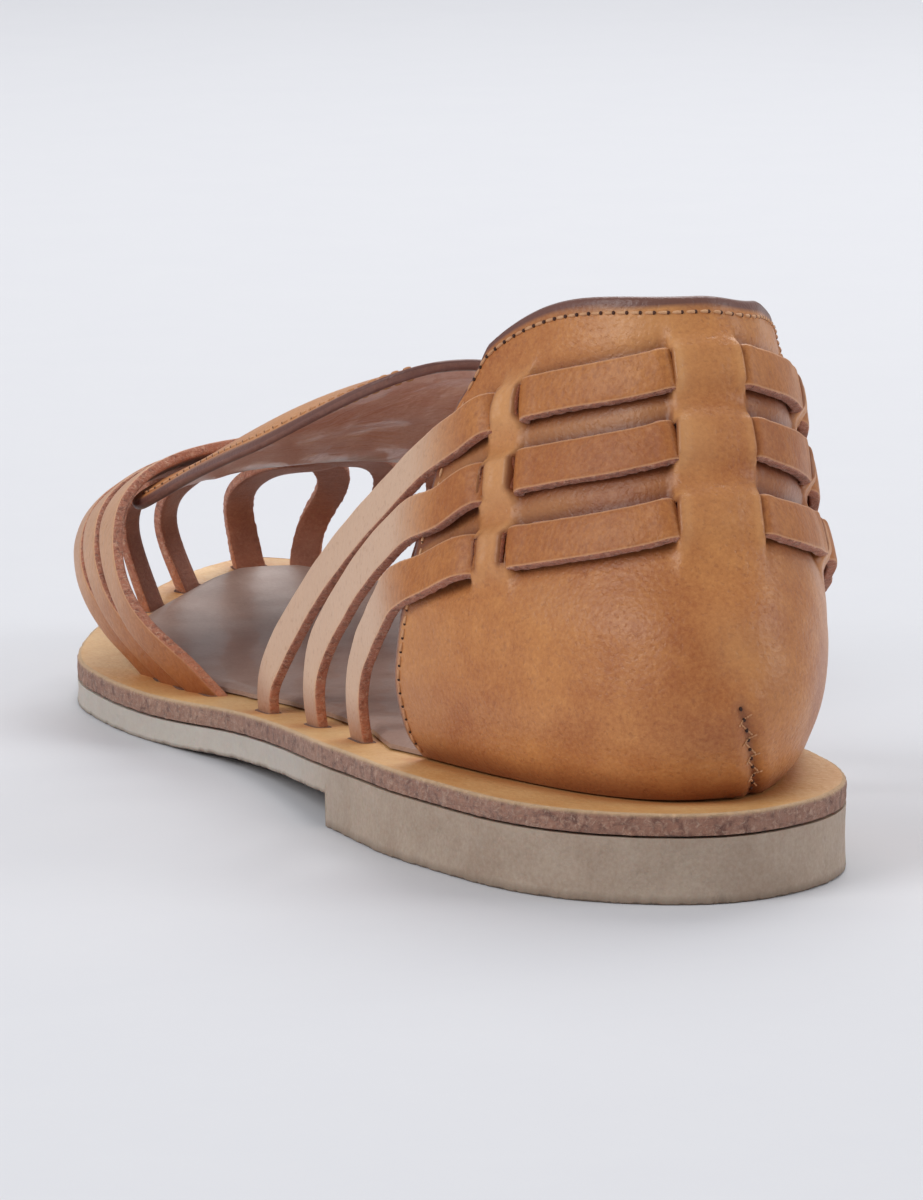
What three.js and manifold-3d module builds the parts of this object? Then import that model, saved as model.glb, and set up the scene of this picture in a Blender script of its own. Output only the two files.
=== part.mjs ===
import * as THREE from 'three';
import Module from 'manifold-3d';

const wasm = await Module();
wasm.setup();

// Huarache sandal for the left foot. X points to the inner (medial) side, Y to the toe, Z up.

// Driving sizes in millimetres
const LENGTH = 255;
const HEEL_WIDTH = 62;
const BALL_WIDTH = 86;
const HEEL_HEIGHT = 13.7;
const HEEL_BREAST = 77;
const TOE_SPRING = 6;
const INSTEP_HEIGHT = 65.4;
const COUNTER_HEIGHT = 86;
const TOPLINE_DROP = 12;
const TOPLINE_CORNER = 6;
const COLUMN_BULGE = 1;
const COLUMN_FADE = 4;
const MIDSOLE_THICKNESS = 3.4;
const OUTSOLE_THICKNESS = 4.1;
const INSOLE_THICKNESS = 1.2;
const INSOLE_MARGIN = 10;
const TOE_INSOLE_MARGIN = 7.4;
const INSOLE_GAP = 1.4;
const COUNTER_WALL = 1.8;
const APRON_WALL = 1.8;
const STRAP_THICKNESS = 1.8;
const HEEL_STRAP_WIDTH = 6.9;
const VAMP_STRAP_WIDTH = 7.6;
const TOE_STRAP_WIDTH = 5.6;
const EDGE_ROUNDING = 0.5;
const SLOT_DEPTH = 2.4;
const FOOT_RISE = 3;
const LATERAL_FOOT_INSET = 8.5;
const MEDIAL_FOOT_INSET = 6.5;
const TOE_FOOT_INSET = 5;
const CLEARANCE = 0.3;
const LAY_GAP = 0.65;
const SLIT_CLEARANCE = 0.4;

// Materials
const leather = (color) => new THREE.MeshStandardMaterial({ color, roughness: 0.5, metalness: 0 });
const TAN = leather(0xc98b52);
const STRAP_TAN = leather(0xd09b69);
const SOLE_TAN = leather(0xdfae70);
const SOCK_BROWN = leather(0x5f4a44);
const CREPE = new THREE.MeshStandardMaterial({ color: 0xb0a696, roughness: 0.85, metalness: 0 });

// Tables are read by smooth monotone interpolation between their rows
const table = (columns, rows) =>
  rows.map((row) => Object.fromEntries(columns.map((column, index) => [column, row[index]])));

const read = (rows, input, output, at) => {
  const last = rows.length - 1;
  const slope = (index) => {
    const run = rows[index + 1][input] - rows[index][input];
    return (rows[index + 1][output] - rows[index][output]) / run;
  };
  const tangent = (index) => {
    if (index === 0) return slope(0);
    if (index === last) return slope(last - 1);
    const before = slope(index - 1);
    const after = slope(index);
    return before * after <= 0 ? 0 : (2 * before * after) / (before + after);
  };
  let row = 0;
  while (row < last - 1 && at > rows[row + 1][input]) row += 1;
  const run = rows[row + 1][input] - rows[row][input];
  const step = THREE.MathUtils.clamp((at - rows[row][input]) / run, 0, 1);
  const square = step * step;
  const cube = square * step;
  return (2 * cube - 3 * square + 1) * rows[row][output]
    + (cube - 2 * square + step) * run * tangent(row)
    + (3 * square - 2 * cube) * rows[row + 1][output]
    + (cube - square) * run * tangent(row + 1);
};

// Plan of the sole: half widths to each side of the heel's centre line
const OUTLINE = table(['along', 'lateral', 'medial'], [
  [0.000, 0.000, 0.000],
  [0.012, 0.355, 0.355],
  [0.039, 0.661, 0.661],
  [0.086, 0.903, 0.903],
  [0.149, 1.050, 1.000],
  [0.227, 1.175, 0.984],
  [0.306, 1.171, 0.857],
  [0.373, 1.062, 0.722],
  [0.439, 0.968, 0.651],
  [0.510, 0.912, 0.703],
  [0.588, 0.963, 0.860],
  [0.667, 1.029, 0.954],
  [0.737, 1.040, 0.965],
  [0.808, 0.940, 0.930],
  [0.871, 0.747, 0.886],
  [0.925, 0.502, 0.712],
  [0.969, 0.244, 0.479],
  [0.992, 0.033, 0.270],
  [1.000, -0.107, 0.107],
]).map((row) => ({ ...row, turn: Math.acos(1 - 2 * row.along) }));

// Side profile of the midsole's top: heel rise and toe spring above the flat forefoot
const PROFILE = table(['along', 'rise', 'spring'], [
  [0.00, 1.00, 0.00],
  [0.19, 1.00, 0.00],
  [0.30, 0.88, 0.00],
  [0.39, 0.61, 0.00],
  [0.51, 0.26, 0.00],
  [0.63, 0.00, 0.00],
  [0.79, 0.00, 0.00],
  [0.90, 0.00, 0.35],
  [1.00, 0.00, 1.00],
]);

const SOLE_THICKNESS = OUTSOLE_THICKNESS + CLEARANCE + MIDSOLE_THICKNESS;

const footHalf = (along) =>
  THREE.MathUtils.lerp(HEEL_WIDTH, BALL_WIDTH, THREE.MathUtils.smoothstep(along, 0.22, 0.68)) / 2;

const soleTop = (along) => SOLE_THICKNESS
  + read(PROFILE, 'along', 'rise', along) * (HEEL_HEIGHT - SOLE_THICKNESS)
  + read(PROFILE, 'along', 'spring', along) * TOE_SPRING;

const soleEdge = (turn, side, inset) => {
  const edge = (angle) => {
    const along = (1 - Math.cos(angle)) / 2;
    const share = read(OUTLINE, 'turn', side < 0 ? 'lateral' : 'medial', angle);
    return new THREE.Vector2(side * share * footHalf(along), along * LENGTH);
  };
  const ahead = edge(Math.min(turn + 0.01, Math.PI)).sub(edge(Math.max(turn - 0.01, 0))).normalize();
  const inward = new THREE.Vector2(-side * ahead.y, side * ahead.x);
  return edge(turn).addScaledVector(inward, inset);
};

// A closed solid through loops of points: each loop pairs its first point with its last
const loft = (loops) => {
  const count = loops[0].length;
  const points = loops.flat();
  const faces = [];
  for (let loop = 0; loop < loops.length - 1; loop += 1) {
    for (let index = 0; index < count; index += 1) {
      const a = loop * count + index;
      const b = loop * count + (index + 1) % count;
      faces.push([a, b, b + count], [a, b + count, a + count]);
    }
  }
  const end = (loops.length - 1) * count;
  for (let index = 0; index < count / 2 - 1; index += 1) {
    const mirror = count - 1 - index;
    faces.push([mirror - 1, index + 1, index], [mirror, mirror - 1, index]);
    faces.push([end + index, end + index + 1, end + mirror - 1]);
    faces.push([end + index, end + mirror - 1, end + mirror]);
  }
  const volume = faces.reduce((sum, [a, b, c]) =>
    sum + points[a].dot(points[b].clone().cross(points[c])), 0);
  const outward = volume > 0 ? faces : faces.map(([a, b, c]) => [a, c, b]);
  return new wasm.Manifold(new wasm.Mesh({
    numProp: 3,
    vertProperties: new Float32Array(points.flatMap((point) => point.toArray())),
    triVerts: new Uint32Array(outward.flat()),
  }));
};

// One layer of the sole between two heights, with rounded rims given as rings
const soleLayer = (rings, turns) => loft(turns.map((turn) => {
  const along = (1 - Math.cos(turn)) / 2;
  const flank = (side) => rings.map(({ inset, height }) => {
    const edge = soleEdge(turn, side, inset);
    return new THREE.Vector3(edge.x, edge.y, height(along));
  });
  return [...flank(-1), ...flank(1).reverse()];
}));

const spread = (from, to, count) =>
  Array.from({ length: count + 1 }, (_, index) => from + ((to - from) * index) / count);

const SOLE_STATIONS = 44;
const NOSE = 0.05;
const turnAt = (distance) => Math.acos(1 - (2 * distance) / LENGTH);
const soleTurns = spread(NOSE, Math.PI - NOSE, SOLE_STATIONS);
const outsoleTurns = [...soleTurns, turnAt(HEEL_BREAST - CLEARANCE), turnAt(HEEL_BREAST + CLEARANCE)]
  .sort((a, b) => a - b);

const midsoleUnder = (along) => soleTop(along) - MIDSOLE_THICKNESS;
const outsoleTop = (along) => midsoleUnder(along) - CLEARANCE;
const outsoleUnder = (along) =>
  (along * LENGTH < HEEL_BREAST ? 0 : Math.max(0, outsoleTop(along) - OUTSOLE_THICKNESS));

const outsole = soleLayer([
  { inset: EDGE_ROUNDING, height: outsoleUnder },
  { inset: 0, height: (along) => outsoleUnder(along) + EDGE_ROUNDING },
  { inset: 0, height: outsoleTop },
], outsoleTurns);

const midsoleBlank = soleLayer([
  { inset: 0, height: midsoleUnder },
  { inset: 0, height: (along) => soleTop(along) - EDGE_ROUNDING },
  { inset: EDGE_ROUNDING, height: soleTop },
], soleTurns);

// Strap: a flat band swept along stations, each with a place and its outward direction
const strap = (stations, { growth = 0, slices = 2 } = {}) => {
  const path = new THREE.CatmullRomCurve3(stations.map(({ place }) => place), false, 'catmullrom', 0.5);
  const facing = new THREE.CatmullRomCurve3(stations.map(({ outward }) => outward), false, 'catmullrom');
  const steps = (stations.length - 1) * slices;
  return loft(spread(0, 1, steps).map((share, index) => {
    const along = path.getTangent(share);
    const out = facing.getPoint(share);
    out.addScaledVector(along, -out.dot(along)).normalize();
    const across = along.clone().cross(out);
    const position = share * (stations.length - 1);
    const before = stations[Math.floor(position)];
    const after = stations[Math.min(Math.floor(position) + 1, stations.length - 1)];
    const width = THREE.MathUtils.lerp(before.width, after.width, position % 1);
    const centre = path.getPoint(share);
    if (index === 0) centre.addScaledVector(along, -growth);
    if (index === steps) centre.addScaledVector(along, growth);
    const corner = (widthSign, thicknessSign) => centre.clone()
      .addScaledVector(across, widthSign * (width / 2 + growth))
      .addScaledVector(out, thicknessSign * (STRAP_THICKNESS / 2 + growth));
    return [corner(-1, -1), corner(-1, 1), corner(1, 1), corner(1, -1)];
  }));
};

// Heel counter: its back line, its front edge and how wide it stands on each side, from seat to topline
const COUNTER = table(['height', 'back', 'front', 'centre', 'lateral', 'medial'], [
  [0.000, 0.034, 0.224, 0.021, 0.970, 0.930],
  [0.200, 0.015, 0.218, 0.048, 1.140, 1.020],
  [0.333, 0.025, 0.216, 0.065, 1.140, 0.980],
  [0.472, 0.051, 0.224, 0.088, 1.083, 0.890],
  [0.556, 0.067, 0.227, 0.094, 1.030, 0.840],
  [0.694, 0.090, 0.233, 0.116, 0.955, 0.775],
  [0.833, 0.114, 0.235, 0.132, 0.860, 0.695],
  [1.000, 0.137, 0.235, 0.129, 0.748, 0.600],
]);

const COUNTER_SEAT = HEEL_HEIGHT + CLEARANCE;
const BACK_ROUNDNESS = 0.42;

const counterBase = (turn, height) => {
  const level = (height - COUNTER_SEAT) / (COUNTER_HEIGHT - COUNTER_SEAT);
  const value = (column) => read(COUNTER, 'height', column, level);
  const reach = Math.abs(turn) ** (1 / BACK_ROUNDNESS) * (2 - Math.abs(turn));
  const half = value(turn < 0 ? 'lateral' : 'medial') * (HEEL_WIDTH / 2) * reach ** BACK_ROUNDNESS;
  return new THREE.Vector3(
    value('centre') * HEEL_WIDTH + Math.sign(turn) * half,
    THREE.MathUtils.lerp(value('back'), value('front'), reach) * LENGTH,
    height,
  );
};

const counterOut = (turn, height) => {
  const sideways = counterBase(turn + 0.02, height).sub(counterBase(turn - 0.02, height));
  const upward = counterBase(turn, height + 0.8).sub(counterBase(turn, height - 0.8));
  return sideways.cross(upward).normalize();
};

// Rows of slits: the strap dips under the column at the back and under a column on each side
const ROWS = table(['name', 'height', 'fall', 'dip', 'corner', 'exit'], [
  ['top', 0.871, 0.125, 0.118, 0.720, 0.812],
  ['middle', 0.732, 0.139, 0.118, 0.685, 0.778],
  ['bottom', 0.584, 0.150, 0.083, 0.678, 0.758],
]);
const REAR_SLIT = 0.165;
const SLIT_HALF = 0.028;
const FRONT_MARGIN = 0.93;

const rowHeight = (row, turn) => {
  const away = Math.max(Math.abs(turn), 0.08);
  return COUNTER_SEAT
    + (row.height - row.fall * away - row.dip * away ** 6) * (COUNTER_HEIGHT - COUNTER_SEAT);
};

const columnBulge = (turn, height) => {
  const away = Math.abs(turn);
  const [top, , bottom] = ROWS;
  const below = rowHeight(bottom, away) - COLUMN_FADE;
  const above = rowHeight(top, away) + COLUMN_FADE;
  const band = THREE.MathUtils.smoothstep(height, below - COLUMN_FADE, below)
    * (1 - THREE.MathUtils.smoothstep(height, above, above + COLUMN_FADE));
  const lean = THREE.MathUtils.clamp(
    (height - rowHeight(bottom, 0.8)) / (rowHeight(top, 0.8) - rowHeight(bottom, 0.8)), 0, 1);
  const side = THREE.MathUtils.lerp(bottom.corner + bottom.exit, top.corner + top.exit, lean) / 2;
  const column = Math.max(
    1 - THREE.MathUtils.smoothstep(away, REAR_SLIT * 0.8, REAR_SLIT * 1.25),
    1 - THREE.MathUtils.smoothstep(Math.abs(away - side), 0.05, 0.09),
  );
  return COLUMN_BULGE * band * column;
};

const counterPoint = (turn, height, offset) => {
  const point = counterBase(turn, height).addScaledVector(counterOut(turn, height), offset);
  point.z = Math.max(point.z, COUNTER_SEAT);
  return point;
};

const toplineHeight = (turn) => COUNTER_HEIGHT - TOPLINE_DROP * Math.abs(turn) ** 4.5
  - TOPLINE_CORNER * THREE.MathUtils.smoothstep(Math.abs(turn), 0.93, 1);

const COUNTER_TURNS = spread(-1, 1, 40);
const COUNTER_LEVELS = [0, 0.1, 0.2, 0.3, 0.38, 0.45, 0.52, 0.59, 0.66, 0.73, 0.8, 0.87, 0.94, 1];

const counterBlank = loft(COUNTER_TURNS.map((turn) => {
  const face = (offset) => COUNTER_LEVELS.map((level) => {
    const height = THREE.MathUtils.lerp(COUNTER_SEAT, toplineHeight(turn), level);
    return counterPoint(turn, height, offset + columnBulge(turn, height));
  });
  return [...face(COUNTER_WALL / 2), ...face(-COUNTER_WALL / 2).reverse()];
}));

// Free run of each heel strap from the counter down to its foot, on both sides
const RUN = ['along', 'lateral', 'medial', 'height', 'tilt'];
const FREE_RUNS = {
  top: table(RUN, [
    [0.251, 0.832, 1.060, 0.680, 14],
    [0.293, 0.871, 1.042, 0.606, 13],
    [0.338, 0.897, 1.010, 0.534, 12],
    [0.385, 0.919, 0.968, 0.451, 10],
    [0.422, 0.942, 0.922, 0.378, 8],
    [0.453, 0.965, 0.865, 0.302, 5],
    [0.478, 0.984, 0.800, 0.241, 2],
    [0.495, 1.000, 0.745, 0.188, 0],
  ]),
  middle: table(RUN, [
    [0.235, 0.932, 1.112, 0.584, 10],
    [0.271, 0.952, 1.100, 0.530, 9],
    [0.308, 0.968, 1.066, 0.469, 8],
    [0.343, 0.974, 1.008, 0.401, 6],
    [0.371, 0.977, 0.936, 0.344, 4],
    [0.394, 0.981, 0.840, 0.291, 2],
    [0.412, 0.981, 0.726, 0.230, 0],
  ]),
  bottom: table(RUN, [
    [0.224, 1.045, 1.190, 0.467, 4],
    [0.249, 1.042, 1.184, 0.421, 4],
    [0.272, 1.032, 1.150, 0.372, 3],
    [0.295, 1.019, 1.080, 0.322, 2],
    [0.312, 1.006, 0.980, 0.277, 0],
    [0.320, 0.997, 0.850, 0.233, 0],
  ]),
};
const HEEL_FEET = {
  top: { along: 0.497, lateral: 1.006, medial: 0.72 },
  middle: { along: 0.406, lateral: 0.974, medial: 0.66 },
  bottom: { along: 0.312, lateral: 0.985, medial: 0.74 },
};

const OVER = (COUNTER_WALL + STRAP_THICKNESS) / 2 + LAY_GAP;
const UNDER = COLUMN_BULGE - OVER;

const footStations = (along, across, outward, width) => [
  soleTop(along) + FOOT_RISE,
  soleTop(along),
  soleTop(along) - SLOT_DEPTH,
].map((height) => ({ place: new THREE.Vector3(across, along * LENGTH, height), outward, width }));

const heelStrap = (row) => {
  const width = HEEL_STRAP_WIDTH;
  const woven = (side) => {
    const marks = [
      [REAR_SLIT * 0.5, UNDER], [REAR_SLIT - SLIT_HALF, UNDER],
      [REAR_SLIT + SLIT_HALF, OVER], [REAR_SLIT + 0.12, OVER], [(REAR_SLIT + row.corner) / 2, OVER],
      [row.corner - 0.12, OVER], [row.corner - SLIT_HALF, OVER],
      [row.corner + SLIT_HALF, UNDER], [row.exit - SLIT_HALF, UNDER], [row.exit + SLIT_HALF, OVER],
      [FRONT_MARGIN, OVER],
    ];
    return marks.map(([turn, offset]) => {
      const height = rowHeight(row, turn);
      return {
        place: counterPoint(side * turn, height, offset),
        outward: counterOut(side * turn, height),
        width,
      };
    });
  };
  const free = (side, column) => FREE_RUNS[row.name].map((mark) => {
    const tilt = THREE.MathUtils.degToRad(mark.tilt);
    return {
      place: new THREE.Vector3(
        side * mark[column] * (HEEL_WIDTH / 2), mark.along * LENGTH, mark.height * COUNTER_HEIGHT),
      outward: new THREE.Vector3(side * Math.cos(tilt), 0, Math.sin(tilt)),
      width,
    };
  });
  const foot = HEEL_FEET[row.name];
  const run = (side, column) => [
    ...woven(side),
    ...free(side, column),
    ...footStations(foot.along, side * foot[column] * (HEEL_WIDTH / 2), new THREE.Vector3(side, 0, 0), width),
  ];
  const centre = {
    place: counterPoint(0, rowHeight(row, 0), UNDER),
    outward: counterOut(0, rowHeight(row, 0)),
    width,
  };
  return [...run(-1, 'lateral').reverse(), centre, ...run(1, 'medial')];
};

// The last over the forefoot: ridge line, widest line and how far the feather edge tucks in
const LAST = table(['along', 'ridge', 'peak', 'lateral', 'medial'], [
  [0.490, 1.000, 0.02, 0.70, 0.74],
  [0.549, 0.950, 0.04, 0.77, 0.82],
  [0.608, 0.885, 0.06, 0.86, 0.88],
  [0.667, 0.795, 0.08, 0.92, 0.91],
  [0.737, 0.690, 0.11, 0.94, 0.92],
  [0.804, 0.605, 0.14, 0.88, 0.88],
  [0.863, 0.540, 0.15, 0.66, 0.80],
  [0.922, 0.462, 0.14, 0.38, 0.61],
  [0.961, 0.380, 0.13, 0.17, 0.40],
  [0.988, 0.282, 0.12, -0.04, 0.20],
]);
const BULGE_HEIGHT = 0.35;
const BULGE_AT = 0.78;
const SQUARENESS = 0.92;

// The line along the sole where the straps go down into the midsole
const footInset = (along, side) => THREE.MathUtils.lerp(
  side < 0 ? LATERAL_FOOT_INSET : MEDIAL_FOOT_INSET,
  TOE_FOOT_INSET, THREE.MathUtils.smoothstep(along, 0.7, 0.85));

const footLine = (along, side) => soleEdge(turnAt(along * LENGTH), side, footInset(along, side));

const lastBase = (along, around) => {
  const value = (column) => read(LAST, 'along', column, along);
  const side = Math.sign(around) || 1;
  const centre = value('peak') * (BALL_WIDTH / 2);
  const half = value(side < 0 ? 'lateral' : 'medial') * (BALL_WIDTH / 2) - side * centre;
  const floor = soleTop(along);
  const ridge = value('ridge') * INSTEP_HEIGHT - APRON_WALL;
  const waist = Math.min(BULGE_HEIGHT * INSTEP_HEIGHT, THREE.MathUtils.lerp(floor, ridge, 0.6));
  const share = Math.min(Math.abs(around) / BULGE_AT, 1) * (Math.PI / 2);
  const place = new THREE.Vector3(
    centre + side * half * Math.sin(share) ** SQUARENESS,
    along * LENGTH,
    waist + (ridge - waist) * Math.max(Math.cos(share), 0) ** SQUARENESS,
  );
  const tuck = Math.max(Math.abs(around) - BULGE_AT, 0) / (1 - BULGE_AT);
  place.x = THREE.MathUtils.lerp(place.x, footLine(along, side).x, tuck ** 1.6);
  place.z = THREE.MathUtils.lerp(place.z, floor, tuck);
  return place;
};

const lastOut = (along, around) => {
  const forward = lastBase(Math.min(along + 0.01, 0.988), around)
    .sub(lastBase(Math.min(along - 0.01, 0.968), around));
  const sideways = lastBase(along, around + 0.03).sub(lastBase(along, around - 0.03));
  return sideways.cross(forward).normalize();
};

const lastPoint = (along, around, lift) =>
  lastBase(along, around).addScaledVector(lastOut(along, around), lift);

// Apron: an instep panel from the throat's back peak to its front end under the straps
const APRON = table(['along', 'lateral', 'medial'], [
  [0.494, -0.04, 0.10],
  [0.502, -0.14, 0.24],
  [0.518, -0.22, 0.33],
  [0.549, -0.31, 0.44],
  [0.596, -0.40, 0.56],
  [0.647, -0.43, 0.66],
  [0.686, -0.46, 0.64],
  [0.729, -0.53, 0.56],
  [0.765, -0.47, 0.42],
  [0.796, -0.30, 0.26],
  [0.812, -0.08, 0.06],
]);
const APRON_ACROSS = spread(0, 1, 14);
const apronStations = APRON.flatMap((row, index) => {
  const next = APRON[index + 1];
  return next ? [row.along, (row.along + next.along) / 2] : [row.along];
});

const apronBlank = loft(apronStations.map((along) => {
  const face = (lift) => APRON_ACROSS.map((share) => lastPoint(along, THREE.MathUtils.lerp(
    read(APRON, 'along', 'lateral', along), read(APRON, 'along', 'medial', along), share), lift));
  return [...face(APRON_WALL), ...face(0).reverse()];
}));

// Vamp straps: a row for each place on the last, from the rear foot to the toe foot
const OVER_APRON = APRON_WALL + LAY_GAP + STRAP_THICKNESS / 2;
const crossing = (strapRows) => table(['along', 'around', 'lift', 'narrow'], strapRows);
const VAMP_RUNS = [
  crossing([
    [0.602, -1.00, 0, 0.5], [0.648, -0.85, 0, 0.1], [0.695, -0.70, 0, 0], [0.738, -0.50, 0, 0],
    [0.786, -0.22, 1, 0.2], [0.833, 0.10, 0, 0.5], [0.868, 0.38, 1, 0.8], [0.892, 0.60, 0, 1],
    [0.909, 0.80, 0, 1], [0.918, 1.00, 0, 1],
  ]),
  crossing([
    [0.638, -1.00, 0, 0.5], [0.686, -0.85, 0, 0.1], [0.735, -0.70, 0, 0], [0.778, -0.50, 0, 0],
    [0.825, -0.22, 0, 0.2], [0.871, 0.10, 1, 0.5], [0.904, 0.36, 0, 0.8], [0.929, 0.56, 1, 1],
    [0.948, 0.76, 0, 1], [0.958, 1.00, 0, 1],
  ]),
  crossing([
    [0.674, -1.00, 0, 0.5], [0.722, -0.85, 0, 0.1], [0.770, -0.70, 0, 0], [0.813, -0.50, 0, 0],
    [0.860, -0.22, 1, 0.2], [0.906, 0.08, 0, 0.5], [0.940, 0.30, 0, 0.8], [0.962, 0.46, 0, 1],
    [0.976, 0.62, 0, 1], [0.985, 1.00, 0, 1],
  ]),
  crossing([
    [0.553, 1.00, 0, 0.5], [0.603, 0.85, 0, 0.1], [0.652, 0.70, 0, 0], [0.702, 0.50, 0, 0],
    [0.752, 0.22, 0, 0.2], [0.802, -0.08, 1, 0.5], [0.846, -0.36, 0, 0.8], [0.877, -0.60, 0, 1],
    [0.899, -0.80, 0, 1], [0.912, -1.00, 0, 1],
  ]),
  crossing([
    [0.593, 1.00, 0, 0.5], [0.645, 0.85, 0, 0.1], [0.698, 0.70, 0, 0], [0.749, 0.50, 0, 0],
    [0.800, 0.22, 1, 0.2], [0.848, -0.08, 0, 0.5], [0.892, -0.34, 1, 0.8], [0.922, -0.56, 0, 1],
    [0.944, -0.78, 0, 1], [0.955, -1.00, 0, 1],
  ]),
  crossing([
    [0.635, 1.00, 0, 0.5], [0.688, 0.85, 0, 0.1], [0.742, 0.70, 0, 0], [0.795, 0.50, 0, 0],
    [0.845, 0.26, 0, 0.2], [0.890, 0.04, 1, 0.5], [0.930, -0.12, 0, 0.8], [0.960, -0.20, 0, 1],
    [0.978, -0.22, 0, 1], [0.997, -1.00, 0, 1],
  ]),
];

const vampStrap = (rows) => {
  const width = (narrow) => THREE.MathUtils.lerp(VAMP_STRAP_WIDTH, TOE_STRAP_WIDTH, narrow);
  const stations = rows.slice(1, -1).map(({ along, around, lift, narrow }) => ({
    place: lastPoint(along, around, OVER_APRON + lift * STRAP_THICKNESS * 0.8),
    outward: lastOut(along, around),
    width: width(narrow),
  }));
  const foot = ({ along, around, narrow }, above) => {
    const { x, y } = footLine(along, around);
    const seat = new THREE.Vector3(x, y, soleTop(y / LENGTH));
    const rise = above.place.clone().sub(seat);
    rise.z = Math.max(rise.z, Math.hypot(rise.x, rise.y));
    return [FOOT_RISE, 0, -2 * SLOT_DEPTH].map((height) => ({
      place: seat.clone().addScaledVector(rise, height / rise.z),
      outward: above.outward.clone().setZ(0).normalize(),
      width: width(narrow),
    }));
  };
  const top = stations.length - 1;
  return [
    ...foot(rows[0], stations[0]).reverse(),
    ...stations,
    ...foot(rows[rows.length - 1], stations[top]),
  ];
};

// Insole: a thin sock, inside the counter at the heel and inside the straps' feet ahead of it
const insoleHeel = [0.12, 0.24, 0.38, 0.52, 0.66, 0.8, 0.92].map((turn) => (side) =>
  counterPoint(side * turn, COUNTER_SEAT, -COUNTER_WALL / 2 - LAY_GAP));
const insoleMargin = (along, side) => Math.max(
  THREE.MathUtils.lerp(INSOLE_MARGIN, TOE_INSOLE_MARGIN, THREE.MathUtils.smoothstep(along, 0.72, 0.9))
    * THREE.MathUtils.lerp(0.6, 1,
      THREE.MathUtils.smoothstep(along, COUNTER[0].front, COUNTER[0].front + 0.12)),
  THREE.MathUtils.smoothstep(along, 0.45, 0.58)
    * (footInset(along, side) + STRAP_THICKNESS / 2 + INSOLE_GAP),
);
const insoleFore = spread(turnAt(COUNTER[0].front * LENGTH + INSOLE_MARGIN), Math.PI - NOSE * 5, 22)
  .map((turn) => (side) => soleEdge(turn, side, insoleMargin((1 - Math.cos(turn)) / 2, side)));
const insole = loft([...insoleHeel, ...insoleFore].map((edge) => {
  const flank = (side) => [0, INSOLE_THICKNESS].map((rise) => {
    const { x, y } = edge(side);
    return new THREE.Vector3(x, y, soleTop(y / LENGTH) + CLEARANCE + rise);
  });
  return [...flank(-1), ...flank(1).reverse()];
}));

// Straps are cut first, then what they pass through is cut clear of them
const heelStations = ROWS.map((row) => heelStrap(row));
const vampStations = VAMP_RUNS.map((rows) => vampStrap(rows));
const joined = (solids) => solids.reduce((whole, solid) => whole.add(solid));
const heelCutters = joined(heelStations.map((stations) => strap(stations, { growth: SLIT_CLEARANCE })));

// The vamp straps come in at a slant, so their feet are cut level with the floor of their slots
const slotFloor = (gap) => loft(spread(0, 1, SOLE_STATIONS).map((along) => {
  const height = soleTop(along) - SLOT_DEPTH - gap;
  return [[-1, 0], [-1, height], [1, height], [1, 0]].map(([side, z]) =>
    new THREE.Vector3(side * BALL_WIDTH, along * LENGTH, z));
}));
const vampStraps = joined(vampStations.map((stations) => strap(stations))).subtract(slotFloor(0));
const vampCutters = joined(vampStations.map((stations) => strap(stations, { growth: SLIT_CLEARANCE })))
  .subtract(slotFloor(CLEARANCE));

const trimmed = (solid) => solid.decompose().reduce((whole, scrap) =>
  (scrap.volume() > whole.volume() ? scrap : whole));

const heelCounter = trimmed(counterBlank.subtract(heelCutters));
const apron = trimmed(apronBlank.subtract(vampCutters));
const midsole = trimmed(midsoleBlank.subtract(heelCutters).subtract(vampCutters));

// Scene graph: one named mesh for each piece, standing on the middle of its footprint
const toMesh = (name, solid, material) => {
  const { numProp, vertProperties, triVerts } = solid.getMesh();
  const geometry = new THREE.BufferGeometry();
  const positions = new Float32Array((vertProperties.length / numProp) * 3);
  for (let index = 0; index < positions.length / 3; index += 1) {
    positions.set(vertProperties.subarray(index * numProp, index * numProp + 3), index * 3);
  }
  geometry.setAttribute('position', new THREE.BufferAttribute(positions, 3));
  geometry.setIndex(new THREE.BufferAttribute(new Uint32Array(triVerts), 1));
  const mesh = new THREE.Mesh(geometry, material);
  mesh.name = name;
  return mesh;
};

const sandal = new THREE.Group();
sandal.add(toMesh('outsole', outsole, CREPE));
sandal.add(toMesh('midsole', midsole, SOLE_TAN));
sandal.add(toMesh('insole', insole, SOCK_BROWN));
sandal.add(toMesh('heel_counter', heelCounter, TAN));
ROWS.forEach((row, index) => {
  sandal.add(toMesh(`heel_strap_${row.name}`, strap(heelStations[index]), STRAP_TAN));
});
sandal.add(toMesh('vamp_apron', apron, TAN));
sandal.add(toMesh('vamp_straps', vampStraps, STRAP_TAN));

const box = new THREE.Box3().setFromObject(sandal);
const middle = box.getCenter(new THREE.Vector3());
sandal.position.set(-middle.x, -middle.y, -box.min.z);
sandal.updateMatrixWorld(true);

export default sandal;
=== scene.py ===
import math

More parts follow.
